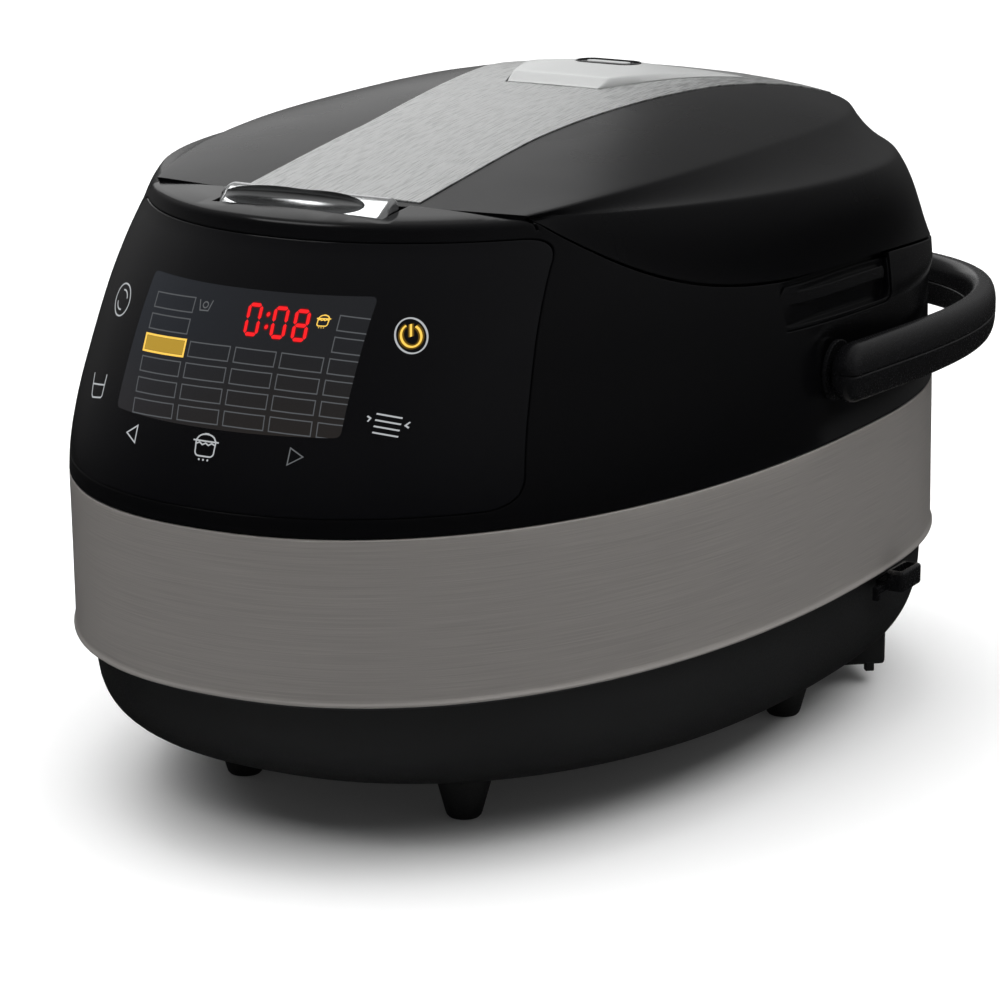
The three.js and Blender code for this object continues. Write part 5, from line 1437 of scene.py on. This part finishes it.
STRIP = {"front": -114.7, "even_to": -40, "rear": 146, "half": 35, "flare": 31, "power": 1.4}
THROUGH_LID = (205, 260)


def strip_half(y):
    """Half the strip's width: even along the front, and wider behind."""
    share = np.maximum(y - STRIP["even_to"], 0) / (STRIP["rear"] - STRIP["even_to"])
    return STRIP["half"] + STRIP["flare"] * share ** STRIP["power"]


def strip_prism(extra):
    ys = np.linspace(STRIP["front"] - extra, STRIP["rear"] + extra, 60)
    right = [(strip_half(y) + extra, y) for y in ys]
    return plan_prism(right + [(-x, y) for x, y in right[::-1]], *THROUGH_LID)


STRIP_PROUD = 0.4
STRIP_THICKNESS = 0.7
VALVE_Y = 84
VALVE_SPOT = (0, VALVE_Y)
VALVE_RADIUS = 19.4
lid = cut(lid_block(0), cut(lid_block(LID_WALL), *lid_corners(0)))
lid_region = common(above_seam(SEAM_GAP), behind_front_seam(SEAM_GAP * 0.5))
common(lid, joined(lid_region, front_edge_zone(SEAM_GAP * 0.5, 0)))
cut(
    lid,
    cut(strip_prism(FIT), lid_block(STRIP_THICKNESS + FIT - STRIP_PROUD)),
    bar("z", VALVE_RADIUS + FIT, 150, 260, VALVE_SPOT, 96),
)
lid.name = "lid_shell"

lid_black = finish("lid_black", (0.0018, 0.0018, 0.0021), 0.26, specular=0.16)
varied(lid_black, grain(lid_black, 24, detail=4), "Roughness", 0.25, 0.28)
relief(lid_black, grain(lid_black, 400, detail=1), 0.000001, edge=0.0005)
smooth_shaded(lid, 24)
dress(lid, lid_black, "lid", "black_gloss", "lid_cover")

# ------------------------------------------------------------------ brushed strip on the lid
# Thin bright strip, brushed from front to rear with short strokes, pressed to the dome and bonded
# in a shallow bed. It keeps its width along the front and widens to the rear.

CAP = {
    "front": 39.5,
    "rear": 108,
    "front_half": 19.9,
    "rear_half": 46,
    "level_end": 88,  # it is level up to here in the middle, and less far at its sides
    "level_bow": 40,
    "top": 241.4,
    "low": 211,
    "lean": 7,  # of its front face
    "flank": 1.6,  # of its sides
    "toe": 0.4,
    "foot_rise": 0.5,
    "rear_step": 0.2,
}


def cap_outline(extra):
    front, rear = CAP["front_half"] + extra, CAP["rear_half"] + 1 + extra
    near, far = CAP["front"] - extra, CAP["rear"] + extra
    return [(front, near), (rear, far), (-rear, far), (-front, near)]


strip = cut(lid_block(-STRIP_PROUD), lid_block(STRIP_THICKNESS - STRIP_PROUD))
common(strip, strip_prism(0))
cut(strip, plan_prism(cap_outline(FIT * 1.6), *THROUGH_LID))
strip.name = "lid_strip_plate"
brushed_strip = finish("brushed_strip", (0.68, 0.69, 0.685), 0.36, metallic=0.95)
strokes = grain(brushed_strip, 110, stretch=(14, 1, 1), detail=3)
tinted(brushed_strip, strokes, (0.46, 0.47, 0.465), (0.88, 0.89, 0.885), span=(0.34, 0.56))
varied(brushed_strip, strokes, "Roughness", 0.3, 0.5)
relief(brushed_strip, strokes, 0.00004, edge=0.0004)
smooth_shaded(strip, 30)
dress(strip, brushed_strip, "lid", "brushed_strip", "lid_strip")

# ------------------------------------------------------------------ steam cap
# A lift-off wedge in satin metallic plastic, level in front and running out into the strip behind.
# Its spigot seats in the valve. The steam leaves by slots in a dark groove round a bright island.


def cap_top(x, y, half, rise):
    """Height of the cap, level round the vent and following the strip towards its rear."""
    start = CAP["level_end"] - CAP["level_bow"] * (x / half) ** 2
    past = max(y - start, 0) / (CAP["rear"] - start)
    foot = dome_height(x, y) + CAP["foot_rise"]
    full = CAP["top"] + (foot + CAP["rear_step"] - CAP["top"]) * smooth(past)
    return foot + (full - foot) * rise


def cap_ring(share, rise=1.0):
    """A cross section of the cap at a share of its length, risen this far from the strip."""
    y = CAP["front"] + (CAP["rear"] - CAP["front"]) * share
    widening = (CAP["rear_half"] - CAP["front_half"]) * share
    foot = CAP["front_half"] + widening - CAP["toe"] * (1 - rise) ** 2
    half = foot - CAP["flank"] * rise
    side = dome_height(foot, y) + CAP["foot_rise"]
    corner = np.array((half, y, cap_top(half, y, half, rise)))
    crown = [(x, y, cap_top(x, y, half, rise)) for x in np.linspace(half, -half, 13)[1:-1]]
    below = corner + (np.array((foot, y, side)) - corner) * 0.2
    inside = corner + (np.array(crown[0]) - corner) * 0.3
    right = arc_points(below, corner, inside, 4)
    left = [(-x, yy, zz) for x, yy, zz in right[::-1]]
    right_foot = [(foot, y, CAP["low"]), (foot, y, side)]
    left_foot = [(-foot, y, side), (-foot, y, CAP["low"])]
    return np.array(right_foot + right + crown + left + left_foot)


face_share = CAP["lean"] / (CAP["rear"] - CAP["front"])
FACE_STEPS = ((0, 0), (0.08, 0.1), (0.3, 0.33), (0.85, 0.89), (0.98, 0.98), (1.15, 1))
cap_rings = [cap_ring(face_share * reach, rise) for reach, rise in FACE_STEPS]
cap_rings += [cap_ring(share) for share in np.linspace(1.5 * face_share, 1, 24)]
cap = outward(loft("steam_cap_body", cap_rings))
cut(cap, lid_block(STRIP_THICKNESS - STRIP_PROUD - FIT))
SPIGOT = VALVE_RADIUS - 3 - RUNNING
SPIGOT_WALL = 1.6
joined(cap, bar("z", SPIGOT, 212, CAP["top"] - 2, VALVE_SPOT, 96))

VENT = {"length": 27, "width": 12, "gap": 0.3, "rim": 0.7, "depth": 3, "proud": 0.2, "tray": 0.3}
ISLAND = {"length": 18.4, "width": 4.4, "depth": 1.6, "proud": 0.1}
OUTLET = {"offset": 4.1, "half_length": 8, "half_width": 0.5}


def slot_prism(size, extra, z0, z1):
    """A slot with round ends over the valve."""
    length, width = size["length"] + 2 * extra, size["width"] + 2 * extra
    turn = np.linspace(-pi / 2, pi / 2, 17)
    half = length / 2 - width / 2
    right = [(half + width / 2 * cos(a), VALVE_Y + width / 2 * sin(a)) for a in turn]
    return plan_prism(right + [(-x, 2 * VALVE_Y - y) for x, y in right], z0, z1)


cut(
    cap,
    bar("z", SPIGOT - SPIGOT_WALL, 200, CAP["top"] - 3.4, VALVE_SPOT, 96),
    slot_prism(VENT, VENT["gap"], 200, 260),
)
satin_silver = finish("satin_silver", (0.7, 0.71, 0.705), 0.38, metallic=0.6)
varied(satin_silver, grain(satin_silver, 1500), "Roughness", 0.34, 0.44)
relief(satin_silver, grain(satin_silver, 2200), 0.000008, edge=0.0006)
smooth_shaded(cap, 30)
dress(cap, satin_silver, "steam_cap_set", "brushed_strip", "steam_cap")

vent = slot_prism(VENT, 0, CAP["top"] - VENT["depth"], CAP["top"] + VENT["proud"])
cut(vent, slot_prism(VENT, -VENT["rim"], CAP["top"] - VENT["tray"], 260))
for side in (-1, 1):
    middle = VALVE_Y + OUTLET["offset"] * side
    cut(
        vent,
        block((-OUTLET["half_length"], middle - OUTLET["half_width"], 200),
              (OUTLET["half_length"], middle + OUTLET["half_width"], 260)),
    )
vent.name = "steam_vent_plate"
satin_black = finish("satin_black", (0.004, 0.004, 0.0045), 0.24, specular=0.5)
satin_grain = grain(satin_black, 1300)
varied(satin_black, satin_grain, "Roughness", 0.2, 0.28)
relief(satin_black, satin_grain, 0.000012, edge=0.0006)
smooth_shaded(vent, 30)
dress(vent, satin_black, "steam_cap_set", "black_gloss", "steam_vent")
vent_island = slot_prism(ISLAND, 0, CAP["top"] - ISLAND["depth"], CAP["top"] + ISLAND["proud"])
vent_island.name = "steam_vent_island"
smooth_shaded(vent_island, 30)
dress(vent_island, satin_silver, "steam_cap_set", "brushed_strip")

# ------------------------------------------------------------------ lid liner
# A matt black moulding that closes the lid from below: a floor, walls that follow the lid's edge, a
# slot for the catch and the valve's hole. The lid's cover is clipped over it.

LINER = {"floor": 179.5, "thickness": 3, "wall": 2.2, "top": 211, "rear": PLUG_REAR}
NOZZLE_RADIUS = 9


def liner_solid(inset, low, high):
    """The liner's outside, or its inside when drawn in."""
    return cut(plug_prism(-inset, low, high), *lid_corners(FIT + inset))


liner = cut(
    liner_solid(0, LINER["floor"], LID_PEAK),
    liner_solid(LINER["wall"], LINER["floor"] + LINER["thickness"], LID_PEAK + 1),
)
liner_front = cut(
    common(liner_solid(0, LINER["floor"], LID_PEAK), behind_front_seam(SEAM_GAP)),
    behind_front_seam(SEAM_GAP + LINER["wall"]),
)
liner_rear = common(
    block((-130, LINER["rear"] - LINER["wall"], LINER["floor"]), (130, LINER["rear"], LID_PEAK)),
    plug_prism(0, LINER["floor"] - 1, LID_PEAK + 1),
)
joined(liner, liner_front, liner_rear)
common(
    liner,
    common(
        lid_block(LID_WALL + 2 * FIT),
        block((-BEYOND, -BEYOND, 0), (BEYOND, LINER["rear"], BEYOND)),
    ),
    behind_front_seam(SEAM_GAP),
    cut(block((-300, -300, 1), (300, 300, LINER["top"])), above_seam(8)),
)
cut(
    liner,
    block(
        (-LATCH_POCKET["half"], -FRONT_SEAM - 2, band_high),
        (LATCH_POCKET["half"], -FRONT_SEAM + LATCH_POCKET["reach"], LINER["top"] + 1),
    ),
    bar("z", NOZZLE_RADIUS + FIT, band_high, 206, VALVE_SPOT, 64),
)
liner.name = "lid_liner_tray"
smooth_shaded(liner, 30)
dress(liner, inner_black, "lid", "inner_plastic", "lid_liner")

# ------------------------------------------------------------------ inner lid plate and gasket
# A pressed aluminium plate held to the liner by its stud. A grey silicone ring round it seals on
# the bowl's rim, and another seals the valve's nozzle where it passes through.

BOWL = {
    "radius": well_radius - 5,
    "floor": 36.3,
    "corner": 34,
    "wall": 2,
    "lip": 8,
    "lip_height": 1.5,
}
PLATE_LOW = LINER["floor"] - 3.2
PLATE_SHEET = 1
EMBOSS = 0.6
STUD_RADIUS = 8
bowl_rim = WELL_TOP + WELL_SHEET + FIT
gasket_radius = BOWL["radius"] + BOWL["lip"] - 0.5
plate_radius = gasket_radius - 7
plate_edge = plate_radius - FIT
plate_top = PLATE_LOW + PLATE_SHEET
embossed = PLATE_LOW + EMBOSS
liner_face = LINER["floor"] - FIT
plate_profile = [(0, PLATE_LOW), (26, PLATE_LOW), (27.5, embossed), (31, embossed)]
plate_profile += [(32.5, PLATE_LOW), (66, PLATE_LOW), (67.5, embossed), (100, embossed)]
plate_profile += [(102, PLATE_LOW), (plate_edge - 0.4, PLATE_LOW), (plate_edge, PLATE_LOW + 0.4)]
plate_profile += [(plate_edge, plate_top), (102.5, plate_top), (100.5, plate_top + 0.5)]
plate_profile += [(67, plate_top + 0.5), (65, plate_top), (STUD_RADIUS, plate_top)]
plate_profile += [(STUD_RADIUS, liner_face), (0, liner_face)]
inner_plate = turned("inner_lid_plate", plate_profile, 128, WIDEST_SPOT)
cut(inner_plate, bar("z", NOZZLE_RADIUS + 4, band_high, 190, VALVE_SPOT, 64))
smooth_shaded(inner_plate, 25)
dress(inner_plate, pressed_aluminium, "lid", "plain_sheet", "lid_plate")

gasket_low = bowl_rim + BOWL["lip_height"] + FIT
gasket_profile = [
    (plate_radius, PLATE_LOW - 0.5),
    (gasket_radius - 3.4, gasket_low + 0.3),
    (gasket_radius - 2.6, gasket_low),
    (gasket_radius - 0.6, gasket_low),
    (gasket_radius, gasket_low + 0.6),
    (gasket_radius, liner_face - 0.5),
    (gasket_radius - 0.5, liner_face),
    (plate_radius, liner_face),
]
gasket = turned_ring("gasket_ring", gasket_profile, 128, WIDEST_SPOT)
silicone = finish("silicone", (0.42, 0.42, 0.41), 0.48, specular=0.4)
shader_of(silicone).inputs["Subsurface Weight"].default_value = 0.15
silicone_bloom = grain(silicone, 300)
tinted(silicone, silicone_bloom, (0.38, 0.38, 0.37), (0.46, 0.46, 0.45))
varied(silicone, silicone_bloom, "Roughness", 0.42, 0.56)
relief(silicone, silicone_bloom, 0.00002)
smooth_shaded(gasket, 35)
dress(gasket, silicone, "lid", "silicone", "lid_gasket")
repainted(silicone, "steam_valve_seal")
repainted(inner_black, "steam_valve_body")

# ------------------------------------------------------------------ strike and hinge
# The strike is bent from plated sheet and screwed behind the lid's front wall, where the hook holds
# it. The lid's hinge plate turns on a pin in the bracket, and a coil on the pin lifts the lid.

repainted(zinc_sheet, "latch_strike", "lid_hinge_arm", "hinge_bracket")
repainted(spring_steel, "hinge_pin", "hinge_spring", "button_pin")
repainted(inner_black, "hinge_bay")

# ------------------------------------------------------------------ release button
# Chromed ABS key across the deck: a high rounded ridge at the rear, a scoop for the fingertip and a
# plain cheek at the right. It turns on its pin and its hook holds the lid.

BUTTON_TOP = 224
BUTTON_FRONT_TOP = 218


def button_ring(x, shrink):
    """Cross section at a station along the key, drawn in near its ends."""
    front, rear = -BUTTON["front"] + shrink, -BUTTON["rear"] - shrink
    top, front_top = BUTTON_TOP - shrink, BUTTON_FRONT_TOP - shrink
    low = BUTTON["floor"] + 4
    nose = ((front, front_top - 1.2), (front, front_top), (front + 1.4, front_top + 0.9))
    ridge = ((rear - 6.4, top - 1.2), (rear - 4, top + 0.4), (rear - 2.4, top - 0.2))
    back = ((rear - 1.6, top - 0.6), (rear, top - 1.6), (rear, top - 4))
    line = [(front, low), nose[0]]
    line += arc_points(*nose, 5) + arc_points(*ridge, 6) + arc_points(*back, 5)
    return np.array([(x, y, z) for y, z in line + [(rear, low)]])


END_ROUND = 2.6
end_turns = np.linspace(pi / 2, 0, 7)
left_end = [
    (-BUTTON["half"] + END_ROUND * (1 - sin(turn)), END_ROUND * (1 - cos(turn)) * 0.8)
    for turn in end_turns
]
right_end = [(-x, shrink) for x, shrink in left_end[::-1]]


def ellipsoid(centre, radii):
    turn = np.linspace(0, 2 * pi, 96, endpoint=False)
    rings = []
    for tilt in np.linspace(-pi / 2, pi / 2, 42)[1:-1]:
        x = centre[0] + radii[0] * cos(tilt) * np.cos(turn)
        y = centre[1] + radii[1] * cos(tilt) * np.sin(turn)
        z = np.full(len(turn), centre[2] + radii[2] * sin(tilt))
        rings.append(np.stack([x, y, z], axis=1))
    return outward(loft("ellipsoid", rings))


FINGER_SCOOP = {
    "place": (-4, -BUTTON["front"] + 2.5, 221.6),
    "radii": (BUTTON["half"] * 0.86, 9.5, 4.6),
}
PIN_HOLE = {"radius": 1.8, "place": (-BUTTON["front"] + 3.1, BUTTON["floor"] + 6)}
button_rings = [button_ring(x, shrink) for x, shrink in left_end + right_end]
button = outward(loft("release_key", button_rings))
hook_corner = (-HOOK["half"], -BUTTON["rear"] - HOOK["thickness"], HOOK["low"])
joined(
    button,
    block(hook_corner, (HOOK["half"], -BUTTON["rear"], BUTTON["floor"] + 5)),
    block(
        hook_corner,
        (HOOK["half"], -FRONT_SEAM + HOOK["reach"], HOOK["low"] + HOOK["thickness"]),
    ),
)
cut(
    button,
    ellipsoid(FINGER_SCOOP["place"], FINGER_SCOOP["radii"]),
    bar("x", PIN_HOLE["radius"], -60, 60, PIN_HOLE["place"], 24),
)
chrome = finish("bright_chrome", (0.76, 0.77, 0.775), 0.18, metallic=1.0)
varied(chrome, grain(chrome, 120), "Roughness", 0.16, 0.22)
relief(chrome, grain(chrome, 60, detail=1), 0.000004, edge=0.0005)
smooth_shaded(button, 30)
dress(button, chrome, "button", "chromed", "release_button")

# ------------------------------------------------------------------ side recesses
# Finger recesses under the lid's rim, one on each side: a glossy black tray let into the upper
# casing from outside, with a ledge along its top that the fingers push against.

LEDGE = {"height": 4.2, "below": 4.4, "rear_gap": 5}


def make_recess():
    """The right tray with its ledge."""
    x = half_width - RECESS["depth"]
    start, end = RECESS["y"][0] + 1, RECESS["y"][1] - LEDGE["rear_gap"]
    tray = side_prism(recess_outline(FIT), x - RECESS["wall"] + FIT, 200)
    common(tray, cut(shell_block(0.5, band_high), above_seam(-2)))
    cut(tray, side_prism(recess_outline(RECESS["wall"] + FIT), x + FIT, 200))
    ys = np.linspace(start, end - 1, 24)
    tops = [(y, float(seam_height(y)) - LEDGE["below"]) for y in ys]
    nose = (end, float(seam_height(end)) - LEDGE["below"] - LEDGE["height"] / 2)
    lows = [(y, z - LEDGE["height"]) for y, z in tops[::-1]]
    ledge = common(side_prism(tops + [nose] + lows, x, 200), shell_block(0.5, band_high))
    return joined(tray, ledge)


for side_name, side in (("right", 1), ("left", -1)):
    recess = on_side(make_recess(), side)
    recess.name = "finger_recess_" + side_name
    smooth_shaded(recess, 30)
    dress(recess, gloss_black, "body", "black_gloss", "side_recess_" + side_name)

# ------------------------------------------------------------------ carrying handle
# Two mouldings screwed together along their middle, carried round the back as one hoop. Each arm
# turns on a boss bolted through the side of the upper casing.

HANDLE = {
    "centre": half_width + 5.8,
    "thickness": 10.6,
    "height": 22,
    "taper": 0.04,
    "straight": 23.4,
    "depth": 206.7,
    "fullness": 2.8,
    "nose": 10.8,
    "droop": radians(2.7),
}
NOSE_STEPS = 9
ARM_STEPS = 44
SECTION_POWER = 2.7
PARTING = 0.15
GROOVE = 0.35
FLANGE = 3
WASHER = 1.6


def handle_line():
    """The right arm's centre line from its nose to the crossbar, as x, y and two shares: of the
    full height and of the full thickness."""
    line = []
    for share in np.linspace(0, 1, NOSE_STEPS, endpoint=False) ** 1.6:
        tall = 0.3 + 0.7 * (1 - (1 - share) ** 2.6) ** 0.66
        thick = 0.5 + 0.5 * min(1, share / 0.2) ** 0.5
        line.append((HANDLE["centre"], -HANDLE["nose"] * (1 - share), tall, thick))
    line.append((HANDLE["centre"], 0, 1, 1))
    for turn in np.linspace(0, pi / 2, ARM_STEPS):
        power = 2 / HANDLE["fullness"]
        x = HANDLE["centre"] * max(cos(turn), 0) ** power
        y = HANDLE["straight"] + HANDLE["depth"] * sin(turn) ** power
        line.append((x, y, 1 - HANDLE["taper"] * turn * 2 / pi, 1))
    line[-1] = (0, *line[-1][1:])
    return line


def handle_half(name, side):
    """One of the two mouldings: the upper one (1) or the lower one (-1)."""
    right = handle_line()
    line = np.array(right + [(-x, *rest) for x, *rest in right[-2::-1]])
    rings = []
    for i, (x, y, tall, thick) in enumerate(line):
        before, after = line[max(i - 1, 0)], line[min(i + 1, len(line) - 1)]
        along = Vector((after[0] - before[0], after[1] - before[1])).normalized()
        half, high = HANDLE["thickness"] / 2 * thick, HANDLE["height"] / 2 * tall
        turn = np.linspace(0, pi, 15)
        out = half * np.sign(np.cos(turn)) * np.abs(np.cos(turn)) ** (2 / SECTION_POWER)
        up = high * np.abs(np.sin(turn)) ** (2 / SECTION_POWER)
        up = np.maximum(up, PARTING + GROOVE)
        out = np.concatenate([[-half + GROOVE, half - GROOVE], out])
        up = np.concatenate([[PARTING, PARTING], up]) * side
        rings.append(np.stack([x + along.y * out, y - along.x * out, up], axis=1))
    half_hoop = centred(outward(loft(name, rings)))
    turned_down = Matrix.Rotation(-HANDLE["droop"], 4, "X")
    place = Matrix.Translation((0, middle_y + PIVOT[0] * MM, PIVOT[1] * MM))
    half_hoop.data.transform(place @ turned_down)
    reach = HANDLE["centre"] + 1
    return cut(half_hoop, bar("x", PIVOT_RADIUS + FIT, -reach, reach, PIVOT))


for name, side, node in (
    ("handle_top", 1, "handle_upper"),
    ("handle_underside", -1, "handle_lower"),
):
    half_hoop = handle_half(name, side)
    smooth_shaded(half_hoop, 32)
    dress(half_hoop, satin_black, "handle", "black_satin", node)

for side_name, side in (("right", 1), ("left", -1)):
    wall_out = half_width - SCOOP["depth"] + FIT
    wall_in = wall_out - SHELL_WALL - 4 * FIT
    boss = bar("x", PIVOT_RADIUS, wall_in - 2, HANDLE["centre"] - 1, PIVOT, 48)
    joined(
        boss,
        bar("x", PIVOT_RADIUS + FLANGE, wall_in - FLANGE, wall_in, PIVOT, 48),
        bar("x", HANDLE["height"] / 2, wall_out, wall_out + WASHER, PIVOT, 64),
    )
    on_side(boss, side)
    boss.name = "handle_boss_" + side_name
    smooth_shaded(boss, 30)
    dress(boss, satin_black, "handle", "black_satin", "handle_pivot_" + side_name)

# ------------------------------------------------------------------ mains inlet
# A moulded socket housing under the rear right corner, let into the lower casing and turned towards
# the corner, with three plated pins inside its mouth.

INLET = {
    "corner": (112, 110),
    "turn": radians(40),
    "length": 30,
    "width": 32,
    "low": 7.7,
    "high": 33,
    "wall": 2.4,
    "mouth_top": 19.5,
    "rounding": 1.5,
}


def rounded_block(low, high, radius):
    """A box with all its edges rounded."""
    piece = block(low, high, "rounded_block")
    work = bmesh.new()
    work.from_mesh(piece.data)
    edges = list(work.edges)
    bmesh.ops.bevel(work, geom=edges, offset=radius * MM, segments=4, profile=0.5, affect="EDGES")
    work.to_mesh(piece.data)
    work.free()
    return piece


def at_inlet(piece):
    """Turns a piece drawn square, with its mouth along X, to look out at the corner."""
    centred(piece)
    x, y = INLET["corner"]
    place = Matrix.Translation((x * MM, middle_y + y * MM, 0))
    piece.data.transform(place @ Matrix.Rotation(INLET["turn"], 4, "Z"))
    return piece


def inlet_solid(extra):
    return rounded_block(
        (-INLET["length"] - extra, -extra, INLET["low"] - extra),
        (extra, INLET["width"] + extra, INLET["high"] + extra),
        INLET["rounding"],
    )


mouth = rounded_block(
    (-INLET["length"] + INLET["wall"], INLET["wall"], INLET["low"] + INLET["wall"]),
    (6, INLET["width"] - INLET["wall"], INLET["mouth_top"]),
    1.2,
)
clip = rounded_block((-8, -0.1, INLET["low"] - 2.6), (-4.5, 3, INLET["low"] + 1), 0.4)
inlet = at_inlet(joined(cut(inlet_solid(0), mouth), clip))
inlet.name = "socket_housing"
smooth_shaded(inlet, 30)
dress(inlet, casing_grey, "body", "grey_base", "inlet_housing")
cut(tub, at_inlet(inlet_solid(FIT)))

pin_steel = finish("plated_pins", (0.6, 0.6, 0.6), 0.25, metallic=1.0)
varied(pin_steel, grain(pin_steel, 700), "Roughness", 0.2, 0.34)
repainted(pin_steel, "inlet_pins")

# ------------------------------------------------------------------ spoon holder
# A small dark sleeve plugged into a slot in the lower casing's right side. It takes the handle of
# the serving spoon, and a hook stands out beside it.

HOLDER = {"y": (54, 71), "z": (55.4, 63.4), "reach": 7.3, "wall": 1.5}
HOLDER_HOOK = {"y": (47.6, 50.2), "thickness": 2.4}
holder_face = half_width + BAND_FLARE + 1.3
holder_outer = holder_face + HOLDER["reach"]
holder_low, holder_high = HOLDER["z"]
tongue_y = (HOLDER["y"][0] + 3, HOLDER["y"][1] - 3)
tongue_z = (holder_low + 0.1, holder_low + 2.7)
hook_face = holder_face - HOLDER_HOOK["thickness"]
holder = rounded_block(
    (holder_face, HOLDER["y"][0], holder_low), (holder_outer, HOLDER["y"][1], holder_high), 1.2
)
cut(
    holder,
    rounded_block(
        (holder_face + HOLDER["wall"], HOLDER["y"][0] + HOLDER["wall"], holder_low - 3),
        (holder_outer - HOLDER["wall"], HOLDER["y"][1] - HOLDER["wall"], holder_high + 3),
        0.7,
    ),
)
tongue = block(
    (holder_face - 11, tongue_y[0], tongue_z[0]), (holder_face + 0.5, tongue_y[1], tongue_z[1])
)
hook_tip = rounded_block(
    (hook_face, HOLDER_HOOK["y"][0], holder_low - 2.6),
    (holder_face, HOLDER_HOOK["y"][1], tongue_z[1]),
    0.4,
)
hook_arm = block(
    (hook_face, HOLDER_HOOK["y"][0] + 0.6, tongue_z[0] + 0.3),
    (holder_face + 0.4, tongue_y[1], tongue_z[1] - 0.3),
)
joined(holder, tongue, hook_tip, hook_arm)
holder.name = "spoon_sleeve"
smooth_shaded(holder, 30)
dress(holder, satin_black, "body", "grey_base", "spoon_holder")
cut(
    tub,
    block((holder_face - 14, tongue_y[0] - FIT, tongue_z[0] - FIT),
          (holder_face + 1, tongue_y[1] + FIT, tongue_z[1] + FIT)),
)
smooth_shaded(tub, 40)

# ------------------------------------------------------------------ bowl
# A drawn aluminium bowl with a speckled non-stick coating. It rests in the well by its rim and
# lifts out. Raised ticks on two sides of its wall show how full it is.


def bowl_corner(radius):
    """The round between floor and wall, as (radius, height) points."""
    centre = (BOWL["radius"] - BOWL["corner"], BOWL["floor"] + BOWL["corner"])
    turn = np.linspace(0, pi / 2, 12)
    return [(centre[0] + radius * sin(a), centre[1] - radius * cos(a)) for a in turn]


bowl_inner = BOWL["radius"] - BOWL["wall"]
lip_radius = BOWL["radius"] + BOWL["lip"]
lip_top = bowl_rim + BOWL["lip_height"]
bowl_profile = [(0, BOWL["floor"]), *bowl_corner(BOWL["corner"])]
bowl_profile += [(BOWL["radius"], bowl_rim - 1.2), (BOWL["radius"] + 0.4, bowl_rim - 0.3)]
bowl_profile += [(BOWL["radius"] + 1.2, bowl_rim), (lip_radius - 0.3, bowl_rim)]
bowl_profile += [(lip_radius, bowl_rim + 0.3), (lip_radius, bowl_rim + 1.1)]
bowl_profile += [(lip_radius - 0.5, lip_top), (bowl_inner + 1.2, lip_top)]
bowl_profile += [(bowl_inner + 0.3, bowl_rim + 1.1), (bowl_inner, bowl_rim)]
bowl_profile += bowl_corner(BOWL["corner"] - BOWL["wall"])[::-1]
bowl_profile += [(0, BOWL["floor"] + BOWL["wall"])]
bowl = turned("cooking_bowl", bowl_profile, 128, WIDEST_SPOT)
coating = finish("bowl_coating", (0.03, 0.03, 0.032), 0.4, specular=0.45)
speckle = grain(coating, 900, detail=1)
tinted(coating, speckle, (0.022, 0.022, 0.024), (0.12, 0.12, 0.125), span=(0.62, 0.72))
varied(coating, speckle, "Roughness", 0.34, 0.5)
relief(coating, speckle, 0.00001)
smooth_shaded(bowl, 35)
dress(bowl, coating, "body", "bowl_coating", "bowl")

TICK_HALF = (0.2, 1, 0.35)
TICK_LOW = 76
TICK_STEP = 13
TICK_LEVELS = 7
TICK_SINK = 0.1
tick = centred(block([-half for half in TICK_HALF], TICK_HALF, "tick"))
tick_spots, tick_sizes = [], []
for level in range(TICK_LEVELS):
    for side in (-1, 1):
        x, y = side * (bowl_inner - TICK_SINK), widest - middle_y / MM
        tick_spots.append((x, y, TICK_LOW + TICK_STEP * level))
        tick_sizes.append((1, 5 if level % 2 else 3, 1))
ticks = copies_at("level_ticks", tick, tick_spots, coating, tick_sizes)
tick_paint = finish("tick_paint", (0.32, 0.32, 0.32), 0.5)
varied(tick_paint, grain(tick_paint, 500), "Roughness", 0.42, 0.58)
dress(ticks, tick_paint, "body", "bowl_coating")
